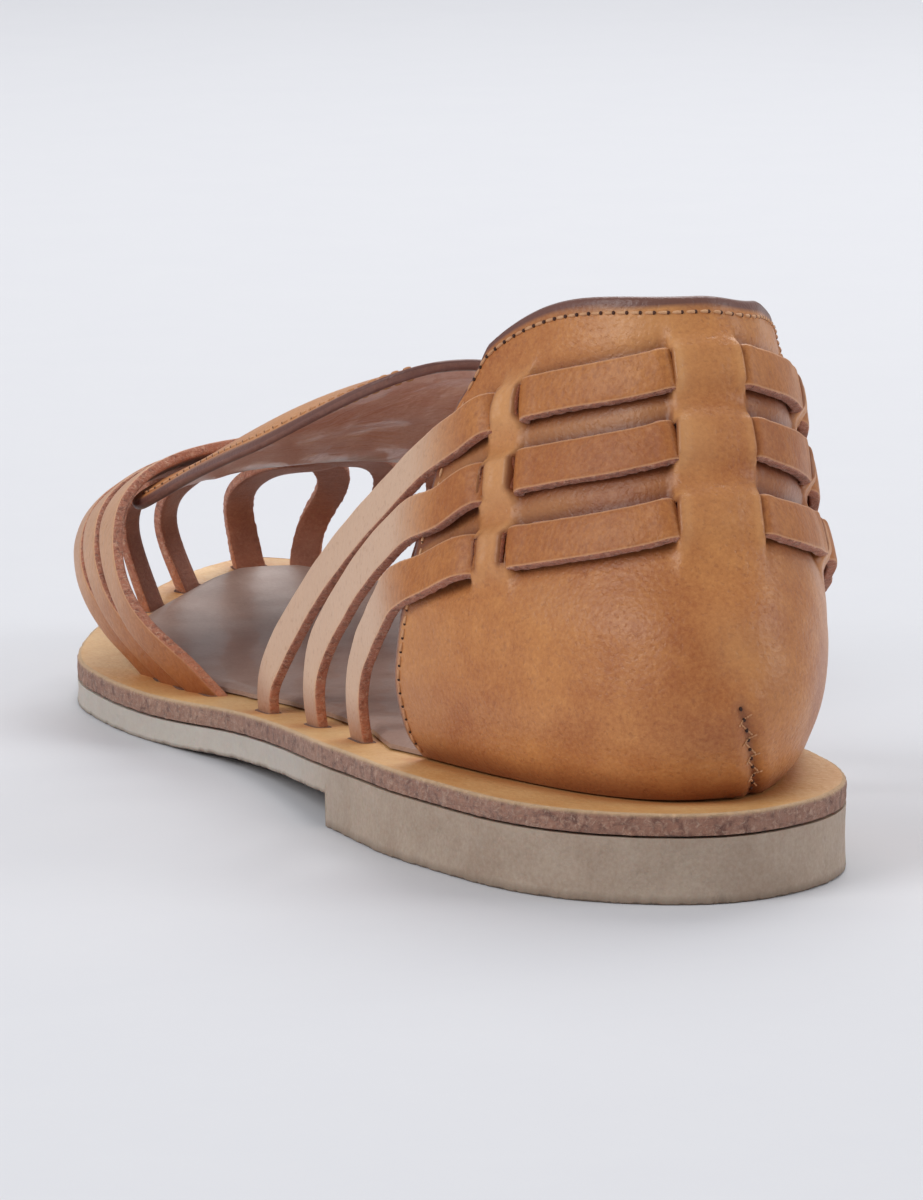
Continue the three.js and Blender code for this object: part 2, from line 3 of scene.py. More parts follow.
import bpy
import numpy as np
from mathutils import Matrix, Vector


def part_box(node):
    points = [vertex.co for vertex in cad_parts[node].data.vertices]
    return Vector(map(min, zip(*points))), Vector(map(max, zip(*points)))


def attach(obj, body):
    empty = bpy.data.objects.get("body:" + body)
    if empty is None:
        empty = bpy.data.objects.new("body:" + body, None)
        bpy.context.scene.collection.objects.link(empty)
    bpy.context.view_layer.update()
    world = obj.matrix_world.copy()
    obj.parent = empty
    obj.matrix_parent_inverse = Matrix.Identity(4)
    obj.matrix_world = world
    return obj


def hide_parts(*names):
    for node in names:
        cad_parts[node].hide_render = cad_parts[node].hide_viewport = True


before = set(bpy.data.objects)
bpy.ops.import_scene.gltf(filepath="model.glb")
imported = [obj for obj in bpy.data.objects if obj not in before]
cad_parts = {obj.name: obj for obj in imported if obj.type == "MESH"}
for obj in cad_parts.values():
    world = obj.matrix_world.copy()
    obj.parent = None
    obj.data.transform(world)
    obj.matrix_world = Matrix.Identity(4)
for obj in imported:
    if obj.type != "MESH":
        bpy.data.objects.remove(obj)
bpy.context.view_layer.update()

# Sizes in millimetres, in the shoe's own frame: X to the inner side, Y to the toe, Z up.
# First the sole, the heel's seat and the foot
LENGTH = 255.0
HEEL_WIDTH = 62.0
BALL_WIDTH = 86.0
HEEL_HEIGHT = 13.7
HEEL_BREAST = 77.0
TOE_SPRING = 6.0
INSTEP_HEIGHT = 65.4
MIDSOLE_THICKNESS = 3.4
OUTSOLE_THICKNESS = 4.1
INSOLE_THICKNESS = 1.2
INSOLE_MARGIN = 10.0
TOE_INSOLE_MARGIN = 7.4
INSOLE_GAP = 1.4
CLEARANCE = 0.3

# Counter and apron
WALL = 1.8
COUNTER_HEIGHT = 86.0
TOPLINE_DROP = 12.0
TOPLINE_CORNER = 6.0
INNER_DROP = 1.5
COLUMN_BULGE = 1.0
COLUMN_WAVE = 1.1
LINING_GAP = 0.65
SLIT_OPENING = 0.6
SLIT_SHORTENING = 1.2
RIM_RADIUS = 0.75
PAINT_WIDTH = 1.7
COUNTER_FRONT = 0.224
BACK_OF_HEEL = 25.0

# How many millimetres the wall's grid rises, and the apron spans, for one unit of its own share
WALL_RISE = 75.0
APRON_SPAN = 55.0

# Straps and their feet
STRAP_THICKNESS = 1.8
HEEL_STRAP_WIDTH = 6.9
VAMP_STRAP_WIDTH = 7.6
TOE_STRAP_WIDTH = 5.6
SHINGLE = 0.1
FLANK_NARROWING = 1.1
SLOT_DEPTH = 2.4
FOOT_RISE = 3.0
LATERAL_FOOT_INSET = 8.5
MEDIAL_FOOT_INSET = 6.5
TOE_FOOT_INSET = 5.0
OVER = 1.85
UNDER = -0.6
STRAP_EASE = 0.5
STRAP_STEP = 0.6
HEEL_ROUNDS = 90
VAMP_ROUNDS = 170
WEAVE_LIFT = 0.97
CROSSING_REACH = 4.0

# Stitches: how far in from an edge, how far apart, and half length and width of loops and holes
STITCH_INSET = 2.5
FRONT_STITCH_INSET = 1.9
STITCH_PITCH = 2.1
HOLE_STEP = 0.3
TOP_LOOP, TOP_HOLE = (0.85, 0.30), (0.30, 0.32)
FRONT_LOOP, THROAT_LOOP, EDGE_HOLE = (0.8, 0.27), (0.8, 0.26), (0.24, 0.25)


def table(columns, rows):
    return {column: np.array([row[i] for row in rows], float) for i, column in enumerate(columns)}


# The sole from above: shares of its length, and of its half width on either side
OUTLINE = table(("along", "lateral", "medial"), [
    (0.000, 0.000, 0.000), (0.012, 0.355, 0.355), (0.039, 0.661, 0.661), (0.086, 0.903, 0.903),
    (0.149, 1.050, 1.000), (0.227, 1.175, 0.984), (0.306, 1.171, 0.857), (0.373, 1.062, 0.722),
    (0.439, 0.968, 0.651), (0.510, 0.912, 0.703), (0.588, 0.963, 0.860), (0.667, 1.029, 0.954),
    (0.737, 1.040, 0.965), (0.808, 0.940, 0.930), (0.871, 0.747, 0.886), (0.925, 0.502, 0.712),
    (0.969, 0.244, 0.479), (0.992, 0.033, 0.270), (1.000, -0.107, 0.107)])
OUTLINE["turn"] = np.arccos(1 - 2 * OUTLINE["along"])

# The sole from the side: how much it has of the heel's rise and of the toe's spring
PROFILE = table(("along", "rise", "spring"), [
    (0.00, 1.00, 0.00), (0.19, 1.00, 0.00), (0.30, 0.88, 0.00), (0.39, 0.61, 0.00), (0.51, 0.26, 0.00),
    (0.63, 0.00, 0.00), (0.79, 0.00, 0.00), (0.90, 0.00, 0.35), (1.00, 0.00, 1.00)])

# The heel's wall up its height: its ends as shares of the length, the rest of the heel's width
COUNTER = table(("height", "back", "front", "centre", "lateral", "medial"), [
    (0.000, 0.034, 0.224, 0.021, 0.970, 0.930),
    (0.200, 0.015, 0.218, 0.048, 1.140, 1.020),
    (0.333, 0.025, 0.216, 0.065, 1.140, 0.980),
    (0.472, 0.051, 0.224, 0.088, 1.083, 0.890),
    (0.556, 0.067, 0.227, 0.094, 1.030, 0.840),
    (0.694, 0.090, 0.233, 0.116, 0.955, 0.775),
    (0.833, 0.114, 0.235, 0.132, 0.860, 0.695),
    (1.000, 0.137, 0.235, 0.129, 0.748, 0.600)])

# Rows of slits from the bottom up
ROW_NAMES = ("bottom", "middle", "top")
ROWS = table(("height", "fall", "dip", "corner", "exit"), [
    (0.584, 0.150, 0.083, 0.678, 0.758),
    (0.732, 0.139, 0.118, 0.685, 0.778),
    (0.871, 0.125, 0.118, 0.720, 0.812)])
REAR_SLIT = 0.165
DIVE = 0.015
FRONT_MARGIN = 0.93

# Slits in the wall's own grid: places round it and bands up it, which ROWS then moves
SLIT_PLACES = (REAR_SLIT, 0.685, 0.778)
SLIT_BANDS = ((0.4, 0.5), (0.6, 0.7), (0.8, 0.9))

# Heel straps from the wall down to their feet, with their tilt in degrees
RUN = ("along", "lateral", "medial", "height", "tilt")
FREE_RUNS = {
    "top": table(RUN, [
        (0.251, 0.832, 1.060, 0.680, 14), (0.293, 0.871, 1.042, 0.606, 13), (0.338, 0.897, 1.010, 0.534, 12),
        (0.385, 0.919, 0.968, 0.451, 10), (0.422, 0.942, 0.922, 0.378, 8), (0.453, 0.965, 0.865, 0.302, 5),
        (0.478, 0.984, 0.800, 0.241, 2), (0.495, 1.000, 0.745, 0.188, 0)]),
    "middle": table(RUN, [
        (0.235, 0.932, 1.112, 0.584, 10), (0.271, 0.952, 1.100, 0.530, 9), (0.308, 0.968, 1.066, 0.469, 8),
        (0.343, 0.974, 1.008, 0.401, 6), (0.371, 0.977, 0.936, 0.344, 4), (0.394, 0.981, 0.840, 0.291, 2),
        (0.412, 0.981, 0.726, 0.230, 0)]),
    "bottom": table(RUN, [
        (0.224, 1.045, 1.190, 0.467, 4), (0.249, 1.042, 1.184, 0.421, 4), (0.272, 1.032, 1.150, 0.372, 3),
        (0.295, 1.019, 1.080, 0.322, 2), (0.312, 1.006, 0.980, 0.277, 0), (0.320, 0.997, 0.850, 0.233, 0)]),
}
HEEL_FEET = {
    "top": {"along": 0.497, "lateral": 1.006, "medial": 0.72},
    "middle": {"along": 0.406, "lateral": 0.974, "medial": 0.66},
    "bottom": {"along": 0.312, "lateral": 0.985, "medial": 0.74},
}

# The form of the foot that apron and vamp straps lie on
LAST = table(("along", "ridge", "peak", "lateral", "medial"), [
    (0.490, 1.000, 0.02, 0.70, 0.74), (0.549, 0.950, 0.04, 0.77, 0.82), (0.608, 0.885, 0.06, 0.86, 0.88),
    (0.667, 0.795, 0.08, 0.92, 0.91), (0.737, 0.690, 0.11, 0.94, 0.92), (0.804, 0.605, 0.14, 0.88, 0.88),
    (0.863, 0.540, 0.15, 0.66, 0.80), (0.922, 0.462, 0.14, 0.38, 0.61), (0.961, 0.380, 0.13, 0.17, 0.40),
    (0.988, 0.282, 0.12, -0.04, 0.20)])
BULGE_HEIGHT = 0.35
BULGE_AT = 0.78
SQUARENESS = 0.92
BACK_ROUNDNESS = 0.42

# The apron's two edges, as places round the foot's form, and where its open throat ends
APRON = table(("along", "lateral", "medial"), [
    (0.494, -0.04, 0.10), (0.502, -0.14, 0.24), (0.518, -0.22, 0.33), (0.549, -0.31, 0.44),
    (0.596, -0.40, 0.56), (0.647, -0.43, 0.66), (0.686, -0.46, 0.64), (0.729, -0.53, 0.56),
    (0.765, -0.47, 0.42), (0.796, -0.30, 0.26), (0.812, -0.08, 0.06)])
THROAT = {"lateral": (0.735, 0.503), "medial": (0.503, 0.66)}

# Vamp straps, three from each side, as places along and round the foot's form
CROSSING = ("along", "around", "narrow")
NARROWING = (0.5, 0.1, 0.0, 0.0, 0.2, 0.5, 0.8, 1.0, 1.0, 1.0)
VAMP_RUNS = [table(CROSSING, [(*place, narrow) for place, narrow in zip(run, NARROWING)]) for run in [
    [(0.602, -1.00), (0.648, -0.85), (0.695, -0.70), (0.738, -0.50), (0.786, -0.22),
     (0.833, 0.10), (0.868, 0.38), (0.892, 0.60), (0.909, 0.80), (0.918, 1.00)],
    [(0.638, -1.00), (0.686, -0.85), (0.735, -0.70), (0.778, -0.50), (0.825, -0.22),
     (0.871, 0.10), (0.904, 0.36), (0.929, 0.56), (0.948, 0.76), (0.958, 1.00)],
    [(0.674, -1.00), (0.722, -0.85), (0.770, -0.70), (0.813, -0.50), (0.860, -0.22),
     (0.906, 0.08), (0.940, 0.30), (0.962, 0.46), (0.976, 0.62), (0.985, 1.00)],
    [(0.553, 1.00), (0.603, 0.85), (0.652, 0.70), (0.702, 0.50), (0.752, 0.22),
     (0.802, -0.08), (0.846, -0.36), (0.877, -0.60), (0.899, -0.80), (0.912, -1.00)],
    [(0.593, 1.00), (0.645, 0.85), (0.698, 0.70), (0.749, 0.50), (0.800, 0.22),
     (0.848, -0.08), (0.892, -0.34), (0.922, -0.56), (0.944, -0.78), (0.955, -1.00)],
    [(0.635, 1.00), (0.688, 0.85), (0.742, 0.70), (0.795, 0.50), (0.845, 0.26),
     (0.890, 0.04), (0.930, -0.12), (0.960, -0.20), (0.978, -0.22), (0.997, -1.00)],
]]


# Shapes worked out from the tables
def mix(a, b, share):
    return a + (b - a) * share


def smooth(value, low, high):
    share = share_of((np.asarray(value, float) - low) / (high - low))
    return share * share * (3 - 2 * share)


def bell(distance, width):
    return np.exp(-(distance / width) ** 2)


def share_of(value):
    return np.clip(value, 0, 1)


def unit(vectors):
    return vectors / np.maximum(np.linalg.norm(vectors, axis=-1, keepdims=True), 1e-9)


def hermite(t, run, start, end, leaving, arriving):
    """A cubic over a run, from start to end, with the slopes that it has at both."""
    return ((2 * t ** 3 - 3 * t ** 2 + 1) * start + (t ** 3 - 2 * t ** 2 + t) * run * leaving
            + (3 * t ** 2 - 2 * t ** 3) * end + (t ** 3 - t ** 2) * run * arriving)


def read(columns, source, wanted, at):
    """A smooth monotone curve through one column of a table."""
    xs, ys = columns[source], columns[wanted]
    run = np.diff(xs)
    slope = np.diff(ys) / run
    both = slope[:-1] * slope[1:]
    total = np.where(slope[:-1] + slope[1:] == 0, 1, slope[:-1] + slope[1:])
    tangent = np.concatenate([slope[:1], np.where(both <= 0, 0, 2 * both / total), slope[-1:]])
    at = np.asarray(at, float)
    i = np.clip(np.searchsorted(xs, at) - 1, 0, len(xs) - 2)
    t = share_of((at - xs[i]) / run[i])
    return hermite(t, run[i], ys[i], ys[i + 1], tangent[i], tangent[i + 1])


def ripple(points, wavelength, seed):
    """Gentle fixed noise between about -1 and 1, with waves about that long."""
    dice = np.random.default_rng(seed)
    total = np.zeros(points.shape[:-1])
    for _ in range(7):
        heading = unit(dice.normal(size=3)) * 2 * np.pi / (wavelength * dice.uniform(0.6, 1.6))
        total = total + np.sin(points @ heading + dice.uniform(0, 6.28))
    return total / 3.2


def softened(steps, values, spread):
    """A sampled curve with its corners taken out and its two ends kept."""
    step = steps[1] - steps[0]
    reach = int(4 * spread / step)
    weights = np.exp(-0.5 * (np.arange(-reach, reach + 1) * step / spread) ** 2)
    padded = np.concatenate([2 * values[0] - values[reach:0:-1], values,
                             2 * values[-1] - values[-2:-reach - 2:-1]])
    return np.convolve(padded, weights / weights.sum(), "valid")


EDGE_TURNS = np.linspace(0, np.pi, 2001)
EDGE_SHARE = {side: softened(EDGE_TURNS, read(OUTLINE, "turn", side, EDGE_TURNS), 0.05)
              for side in ("lateral", "medial")}
SOLE_THICKNESS = OUTSOLE_THICKNESS + CLEARANCE + MIDSOLE_THICKNESS
SEAT = HEEL_HEIGHT + CLEARANCE


def foot_half(along):
    return mix(HEEL_WIDTH, BALL_WIDTH, smooth(along, 0.22, 0.68)) / 2


def sole_top(along):
    return (SOLE_THICKNESS + read(PROFILE, "along", "rise", along) * (HEEL_HEIGHT - SOLE_THICKNESS)
            + read(PROFILE, "along", "spring", along) * TOE_SPRING)


def turn_at(distance):
    return np.arccos(np.clip(1 - 2 * distance / LENGTH, -1, 1))


def sole_edge(turn, side, inset):
    turn = np.asarray(turn, float)
    side = np.broadcast_to(np.asarray(side, float), turn.shape)

    def edge(angle):
        along = (1 - np.cos(angle)) / 2
        share = np.where(side < 0, np.interp(angle, EDGE_TURNS, EDGE_SHARE["lateral"]),
                         np.interp(angle, EDGE_TURNS, EDGE_SHARE["medial"]))
        return np.stack([side * share * foot_half(along), along * LENGTH], -1)

    ahead = unit(edge(np.minimum(turn + 0.01, np.pi)) - edge(np.maximum(turn - 0.01, 0)))
    inward = np.stack([-side * ahead[..., 1], side * ahead[..., 0]], -1)
    return edge(turn) + inward * np.broadcast_to(np.asarray(inset, float), turn.shape)[..., None]


def counter_base(turn, height):
    """A point on the wall's middle surface: turn goes from -1 to 1 round the heel."""
    turn, height = np.broadcast_arrays(np.asarray(turn, float), np.asarray(height, float))
    level = (height - SEAT) / (COUNTER_HEIGHT - SEAT)
    back, front, centre, lateral, medial = (
        read(COUNTER, "height", column, level) for column in ("back", "front", "centre", "lateral", "medial"))
    away = np.abs(turn)
    reach = away ** (1 / BACK_ROUNDNESS) * (2 - away)
    width = np.where(turn < 0, lateral, medial) * HEEL_WIDTH / 2
    return np.stack([centre * HEEL_WIDTH + np.sign(turn) * width * reach ** BACK_ROUNDNESS,
                     mix(back, front, reach) * LENGTH, height], -1)


def counter_out(turn, height):
    turn, height = np.asarray(turn, float), np.asarray(height, float)
    sideways = counter_base(turn + 0.02, height) - counter_base(turn - 0.02, height)
    upward = counter_base(turn, height + 0.8) - counter_base(turn, height - 0.8)
    return unit(np.cross(sideways, upward))


def counter_point(turn, height, offset):
    offset = np.asarray(offset, float)
    point = counter_base(turn, height) + counter_out(turn, height) * offset[..., None]
    point[..., 2] = np.maximum(point[..., 2], SEAT)
    return point


def row_height(row, turn):
    away = np.maximum(np.abs(turn), 0.08)
    return SEAT + (ROWS["height"][row] - ROWS["fall"][row] * away - ROWS["dip"][row] * away ** 6) \
        * (COUNTER_HEIGHT - SEAT)


def topline(turn):
    away = np.abs(turn)
    return COUNTER_HEIGHT - TOPLINE_DROP * away ** 4.5 - TOPLINE_CORNER * smooth(away, 0.93, 1) \
        - INNER_DROP * smooth(turn, 0.0, 0.45)


def foot_inset(along, side):
    return mix(np.where(np.asarray(side) < 0, LATERAL_FOOT_INSET, MEDIAL_FOOT_INSET),
               TOE_FOOT_INSET, smooth(along, 0.7, 0.85))


def foot_line(along, side):
    return sole_edge(turn_at(along * LENGTH), side, foot_inset(along, side))


def last_base(along, around):
    """A point on the foot's form: around goes from -1 at the outer foot line to 1 at the inner one."""
    along, around = np.broadcast_arrays(np.asarray(along, float), np.asarray(around, float))
    side = np.where(around < 0, -1.0, 1.0)
    centre = read(LAST, "along", "peak", along) * BALL_WIDTH / 2
    reach = np.where(side < 0, read(LAST, "along", "lateral", along), read(LAST, "along", "medial", along))
    half = reach * BALL_WIDTH / 2 - side * centre
    floor = sole_top(along)
    ridge = read(LAST, "along", "ridge", along) * INSTEP_HEIGHT - WALL
    waist = np.minimum(BULGE_HEIGHT * INSTEP_HEIGHT, mix(floor, ridge, 0.6))
    share = np.minimum(np.abs(around) / BULGE_AT, 1) * np.pi / 2
    across = centre + side * half * np.sin(share) ** SQUARENESS
    up = waist + (ridge - waist) * np.maximum(np.cos(share), 0) ** SQUARENESS
    tuck = np.maximum(np.abs(around) - BULGE_AT, 0) / (1 - BULGE_AT)
    across = mix(across, foot_line(along, side)[..., 0], tuck ** 1.6)
    return np.stack([across, along * LENGTH, mix(up, floor, tuck)], -1)


def last_out(along, around):
    along, around = np.broadcast_arrays(np.asarray(along, float), np.asarray(around, float))
    forward = last_base(np.minimum(along + 0.01, 0.988), around) \
        - last_base(np.minimum(along - 0.01, 0.968), around)
    sideways = last_base(along, around + 0.03) - last_base(along, around - 0.03)
    return unit(np.cross(sideways, forward))


def last_point(along, around, lift):
    return last_base(along, around) + last_out(along, around) * np.asarray(lift, float)[..., None]


# From the shoe's frame to the part's own frame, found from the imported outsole
low_corner, high_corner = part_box("outsole")
OUTER_EDGE = sole_edge(EDGE_TURNS, -1, 0)[:, 0].min()
INNER_EDGE = sole_edge(EDGE_TURNS, 1, 0)[:, 0].max()
SHIFT = np.array([(low_corner.x + high_corner.x) * 500 - (OUTER_EDGE + INNER_EDGE) / 2,
                  (low_corner.y + high_corner.y) * 500 - LENGTH / 2, 0.0])


# Meshes
def shown(name, data):
    piece = bpy.data.objects.new(name, data)
    bpy.context.scene.collection.objects.link(piece)
    return piece


def plain_mesh(name, points, edges, faces):
    """Points in millimetres in the shoe's frame, as a mesh in metres in the part's."""
    mesh = bpy.data.meshes.new(name)
    mesh.from_pydata(((points.reshape(-1, 3) + SHIFT) / 1000).tolist(), edges, faces)
    return mesh


def place_mesh(name, node, points, faces, finishes, finish_of_face=None, marks=None, sharp=50):
    """One shown piece in a material slot, over a node or none, with the marks that its finishes read."""
    mesh = plain_mesh(name, points, [], faces)
    mesh.validate()
    for finish in finishes:
        mesh.materials.append(finish)
    if finish_of_face is not None and len(mesh.polygons) == len(faces):
        mesh.polygons.foreach_set("material_index", np.asarray(finish_of_face, np.int32))
    for key, values in (marks or {}).items():
        mark = mesh.attributes.new(key, "FLOAT", "POINT")
        mark.data.foreach_set("value", np.asarray(values, np.float32).ravel())
    mesh.shade_smooth()
    mesh.set_sharp_from_angle(angle=math.radians(sharp))
    mesh.update()
    face_outwards(mesh)
    settle(shown(name, mesh), node)


def face_outwards(mesh):
    """A closed shell whose volume comes out negative has its faces turned round."""
    mesh.calc_loop_triangles()
    places = np.empty(len(mesh.vertices) * 3)
    mesh.vertices.foreach_get("co", places)
    places = places.reshape(-1, 3)
    threes = np.empty(len(mesh.loop_triangles) * 3, np.int32)
    mesh.loop_triangles.foreach_get("vertices", threes)
    a, b, c = places[threes.reshape(-1, 3)].transpose(1, 0, 2)
    if np.einsum("ij,ij->i", a, np.cross(b, c)).sum() < 0:
        mesh.flip_normals()


def settle(piece, node=None):
    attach(piece, "root")
    if node:
        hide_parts(node)


def loops_to_faces(count, size, band_finish):
    """Quads between closed loops of points, and a strip of quads over each end."""
    faces, finish = [], []
    for i in range(count - 1):
        for j in range(size):
            k = (j + 1) % size
            faces.append((i * size + j, i * size + k, (i + 1) * size + k, (i + 1) * size + j))
            finish.append(band_finish[j])
    far = (count - 1) * size
    for j in range(size // 2 - 1):
        near = (size - 1 - j, size - 2 - j, j + 1, j)
        faces += [near, tuple(far + k for k in reversed(near))]
        finish += [band_finish[j]] * 2
    return faces, finish


# Finishes: shared effects first, each a group that puts out masks and heights
class Nodes:
    """A node tree in the making, where every node is linked as it is added."""

    def __init__(self, tree):
        self.tree = tree

    def add(self, kind, given, output=0, **settings):
        """One node: each input named or numbered in given takes a value or another node's output."""
        node = self.tree.nodes.new(kind)
        for key, value in settings.items():
            setattr(node, key, value)
        for key, value in given.items():
            if isinstance(value, bpy.types.NodeSocket):
                self.tree.links.new(value, node.inputs[key])
            else:
                node.inputs[key].default_value = value
        return node.outputs[output]

    def summed(self, *parts):
        """The sum of some outputs, each with its weight."""
        total = 0.0
        for value, weight in parts:
            total = self.add("ShaderNodeMath", {0: value, 1: weight, 2: total}, operation="MULTIPLY_ADD")
        return total

    def noise(self, place, scale, detail=3.0, rough=0.55, distortion=0.0):
        return self.add("ShaderNodeTexNoise", {"Vector": place, "Scale": scale, "Detail": detail,
                                               "Roughness": rough, "Distortion": distortion}, "Fac")

    def ranged(self, value, low, high, to_low=0.0, to_high=1.0):
        return self.add("ShaderNodeMapRange", {"Value": value, "From Min": low, "From Max": high,
                                               "To Min": to_low, "To Max": to_high}, "Result")


class Effect(Nodes):
    """A pattern that finishes share: a group that reads a place and a scale."""

    def __init__(self, name):
        super().__init__(bpy.data.node_groups.new(name, "ShaderNodeTree"))
        for key, kind in (("Place", "Vector"), ("Scale", "Float")):
            self.tree.interface.new_socket(key, in_out="INPUT", socket_type="NodeSocket" + kind)
        given = self.tree.nodes.new("NodeGroupInput").outputs
        self.place, self.scale = given["Place"], given["Scale"]

    def scaled(self, times):
        return self.summed((self.scale, times))

    def stretched(self, stretch):
        return self.add("ShaderNodeVectorMath", {0: self.place, 1: stretch}, operation="MULTIPLY")

    def put_out(self, **outputs):
        for key in outputs:
            self.tree.interface.new_socket(key, in_out="OUTPUT", socket_type="NodeSocketFloat")
        made = self.tree.nodes.new("NodeGroupOutput")
        for key, value in outputs.items():
            self.tree.links.new(value, made.inputs[key])
        return self.tree


def leather_grain():
    """Fine pebbled grain with open pores, and slow mottling of the dye."""
    effect = Effect("leather_grain")
    place = effect.place
    pebble = effect.add("ShaderNodeTexVoronoi", {"Vector": place, "Scale": effect.scale}, "Distance")
    fine = effect.noise(place, effect.scaled(1.9), 4.0, 0.6)
    pores = effect.ranged(effect.noise(place, effect.scaled(1.1), 2.0, 0.5), 0.58, 0.70)
    dye = effect.summed((effect.noise(place, 42.0, 3.0, 0.5, 0.3), 0.45),
                        (effect.noise(place, 240.0, 3.0, 0.5), 0.2),
                        (effect.noise(place, 1500.0, 3.0, 0.7), 0.35))
    return effect.put_out(Height=effect.summed((pebble, 0.55), (fine, 0.5), (pores, -0.35)),
                          Mottle=effect.ranged(dye, 0.36, 0.64), Pores=pores)


def raw_fibre():
    """Cut leather: layered fibres, torn pale hairs and dark pits."""
    effect = Effect("raw_fibre")
    fuzz = effect.noise(effect.place, effect.scaled(1500.0), 5.0, 0.75, 0.8)
    layers = effect.noise(effect.stretched((0.35, 0.35, 1.9)), effect.scaled(1100.0), 3.0, 0.6, 0.4)
    pits = effect.noise(effect.place, effect.scaled(800.0), 3.0, 0.6)
    return effect.put_out(Height=effect.summed((fuzz, 0.6), (layers, 0.6)),
                          Pale=effect.ranged(fuzz, 0.50, 0.68), Dark=effect.ranged(pits, 0.50, 0.66))


def creases():
    """Long soft wrinkles where leather has been pulled over the last."""
    effect = Effect("creases")
    bent = effect.noise(effect.stretched((1.0, 0.45, 1.3)), effect.scale, 4.0, 0.55, 1.4)
    ridge = effect.add("ShaderNodeMath", {0: bent, 1: 0.5}, operation="SUBTRACT")
    ridge = effect.add("ShaderNodeMath", {0: ridge}, operation="ABSOLUTE")
    return effect.put_out(Height=effect.ranged(ridge, 0.0, 0.16))


def streaks():
    """Darker streaks, drawn out upwards."""
    effect = Effect("streaks")
    streak = effect.noise(effect.stretched((1.0, 1.0, 0.2)), effect.scale, 3.0, 0.6)
    return effect.put_out(Mask=effect.ranged(streak, 0.48, 0.66))


EFFECTS = {"grain": leather_grain(), "fibre": raw_fibre(), "creases": creases(), "streaks": streaks()}


def colour(red, green, blue):
    """An on-screen colour as the linear light that Blender mixes."""
    return tuple(((v / 255 + 0.055) / 1.055) ** 2.4 for v in (red, green, blue)) + (1,)


def finish(name, effects, tone, layers, bumps=(), shine=None, rough=0.5, specular=0.5, sheen=0.0, **more):
    """A material. effects gives each pattern's scale. Each layer is a colour over the tone so far, a
    mask, which is an effect's output or a mark on the mesh, and an amount. bumps are an effect, a
    strength and a depth in metres. shine is the roughness where the dye is darkest and lightest."""
    material = bpy.data.materials.new(name)
    material.use_nodes = True
    nodes = Nodes(material.node_tree)
    surface = nodes.tree.nodes["Principled BSDF"].inputs
    weights = {"Roughness": rough, "Specular IOR Level": specular, "Sheen Weight": sheen}
    for key, value in {**weights, **more}.items():
        surface[key.replace("_", " ")].default_value = value
    place = nodes.add("ShaderNodeTexCoord", {}, "Object")
    patterns = {key: nodes.add("ShaderNodeGroup", {"Place": place, "Scale": scale},
                               node_tree=EFFECTS[key]).node.outputs for key, scale in effects.items()}
    tone = colour(*tone)
    for other, mask, amount in layers:
        effect, _, output = mask.partition(" ")
        seen = patterns[effect][output] if output else nodes.add("ShaderNodeAttribute", {}, "Fac",
                                                                 attribute_name=mask)
        part = nodes.add("ShaderNodeMath", {0: seen, 1: amount}, operation="MULTIPLY", use_clamp=True)
        tone = nodes.add("ShaderNodeMix", {0: part, 6: tone, 7: colour(*other)}, 2, data_type="RGBA")
    looks = {}
    for effect, strength, depth in bumps:
        looks["Normal"] = nodes.add("ShaderNodeBump", {
            "Strength": strength, "Distance": depth, "Height": patterns[effect]["Height"], **looks}, "Normal")
    looks["Base Color"] = tone
    if shine:
        looks["Roughness"] = nodes.ranged(patterns["grain"]["Mottle"], 0, 1, *shine)
    for key, value in looks.items():
        nodes.tree.links.new(value, surface[key])
    return material


# Cut edges: the layer in (214, 132, 84) turns them a warmer, lighter orange wherever the mesh carries its
# painted shade mark
def cut_edge(name, base, pale, dark, rough=0.85):
    return finish(name, {"fibre": 1.0}, base,
                  [(dark, "fibre Dark", 0.75), (pale, "fibre Pale", 0.7), ((214, 132, 84), "painted_shading", 0.55)],
                  [("fibre", 0.9, 0.0009)], rough=rough, specular=0.25, sheen=0.25)


def thread(name, light, dark, rough):
    return finish(name, {"grain": 1600.0}, dark, [(light, "grain Mottle", 1.0)], rough=rough)


PAINT = ((104, 70, 66), "paint", 0.92)
# Upper leather: the layer in (222, 164, 108) is painted highlight, the one in (112, 56, 32) painted shade,
# and PAINT is edge paint along the rim
TAN = finish("upper_tan_leather", {"grain": 1100.0}, (164, 94, 48), [
    ((208, 142, 82), "grain Mottle", 0.95), ((146, 86, 50), "grain Pores", 0.3),
    ((222, 164, 108), "painted_highlight", 0.6), ((112, 56, 32), "painted_shading", 0.9), PAINT],
    [("grain", 0.4, 0.0003)], (0.42, 0.32), specular=0.42, sheen=0.02)
# Strap leather: the layer in (218, 184, 156) is painted light on the free runs and the vamp straps' upper
# parts, the one in (232, 182, 140) a pale line along each edge, partly edge wear and partly painted
# highlight, and the one in (150, 84, 48) painted shade near the sole
STRAP_TAN = finish("strap_tan_leather", {"grain": 1000.0, "streaks": 1500.0}, (160, 90, 42), [
    ((200, 132, 70), "grain Mottle", 0.95), ((146, 84, 42), "streaks Mask", 0.4),
    ((218, 184, 156), "free", 0.82), ((156, 94, 48), "grain Pores", 0.22),
    ((232, 182, 140), "rim", 0.7), ((150, 84, 48), "painted_shading", 0.8)],
    [("grain", 0.4, 0.0003)], (0.50, 0.40), specular=0.42, sheen=0.03)
STRAP_EDGE = cut_edge("strap_cut_edge", (192, 122, 94), (236, 194, 164), (132, 74, 56))
STRAP_BACK = finish("strap_back", {"fibre": 0.8, "grain": 600.0}, (136, 80, 58), [
    ((172, 110, 82), "grain Mottle", 0.9), ((188, 136, 106), "fibre Pale", 0.35)],
    [("fibre", 0.5, 0.0005)], rough=0.62, sheen=0.15)
PAINTED = finish("painted_edge", {"grain": 700.0}, (112, 74, 66), [((150, 104, 86), "grain Mottle", 0.8)],
                 [("grain", 0.4, 0.0004)])
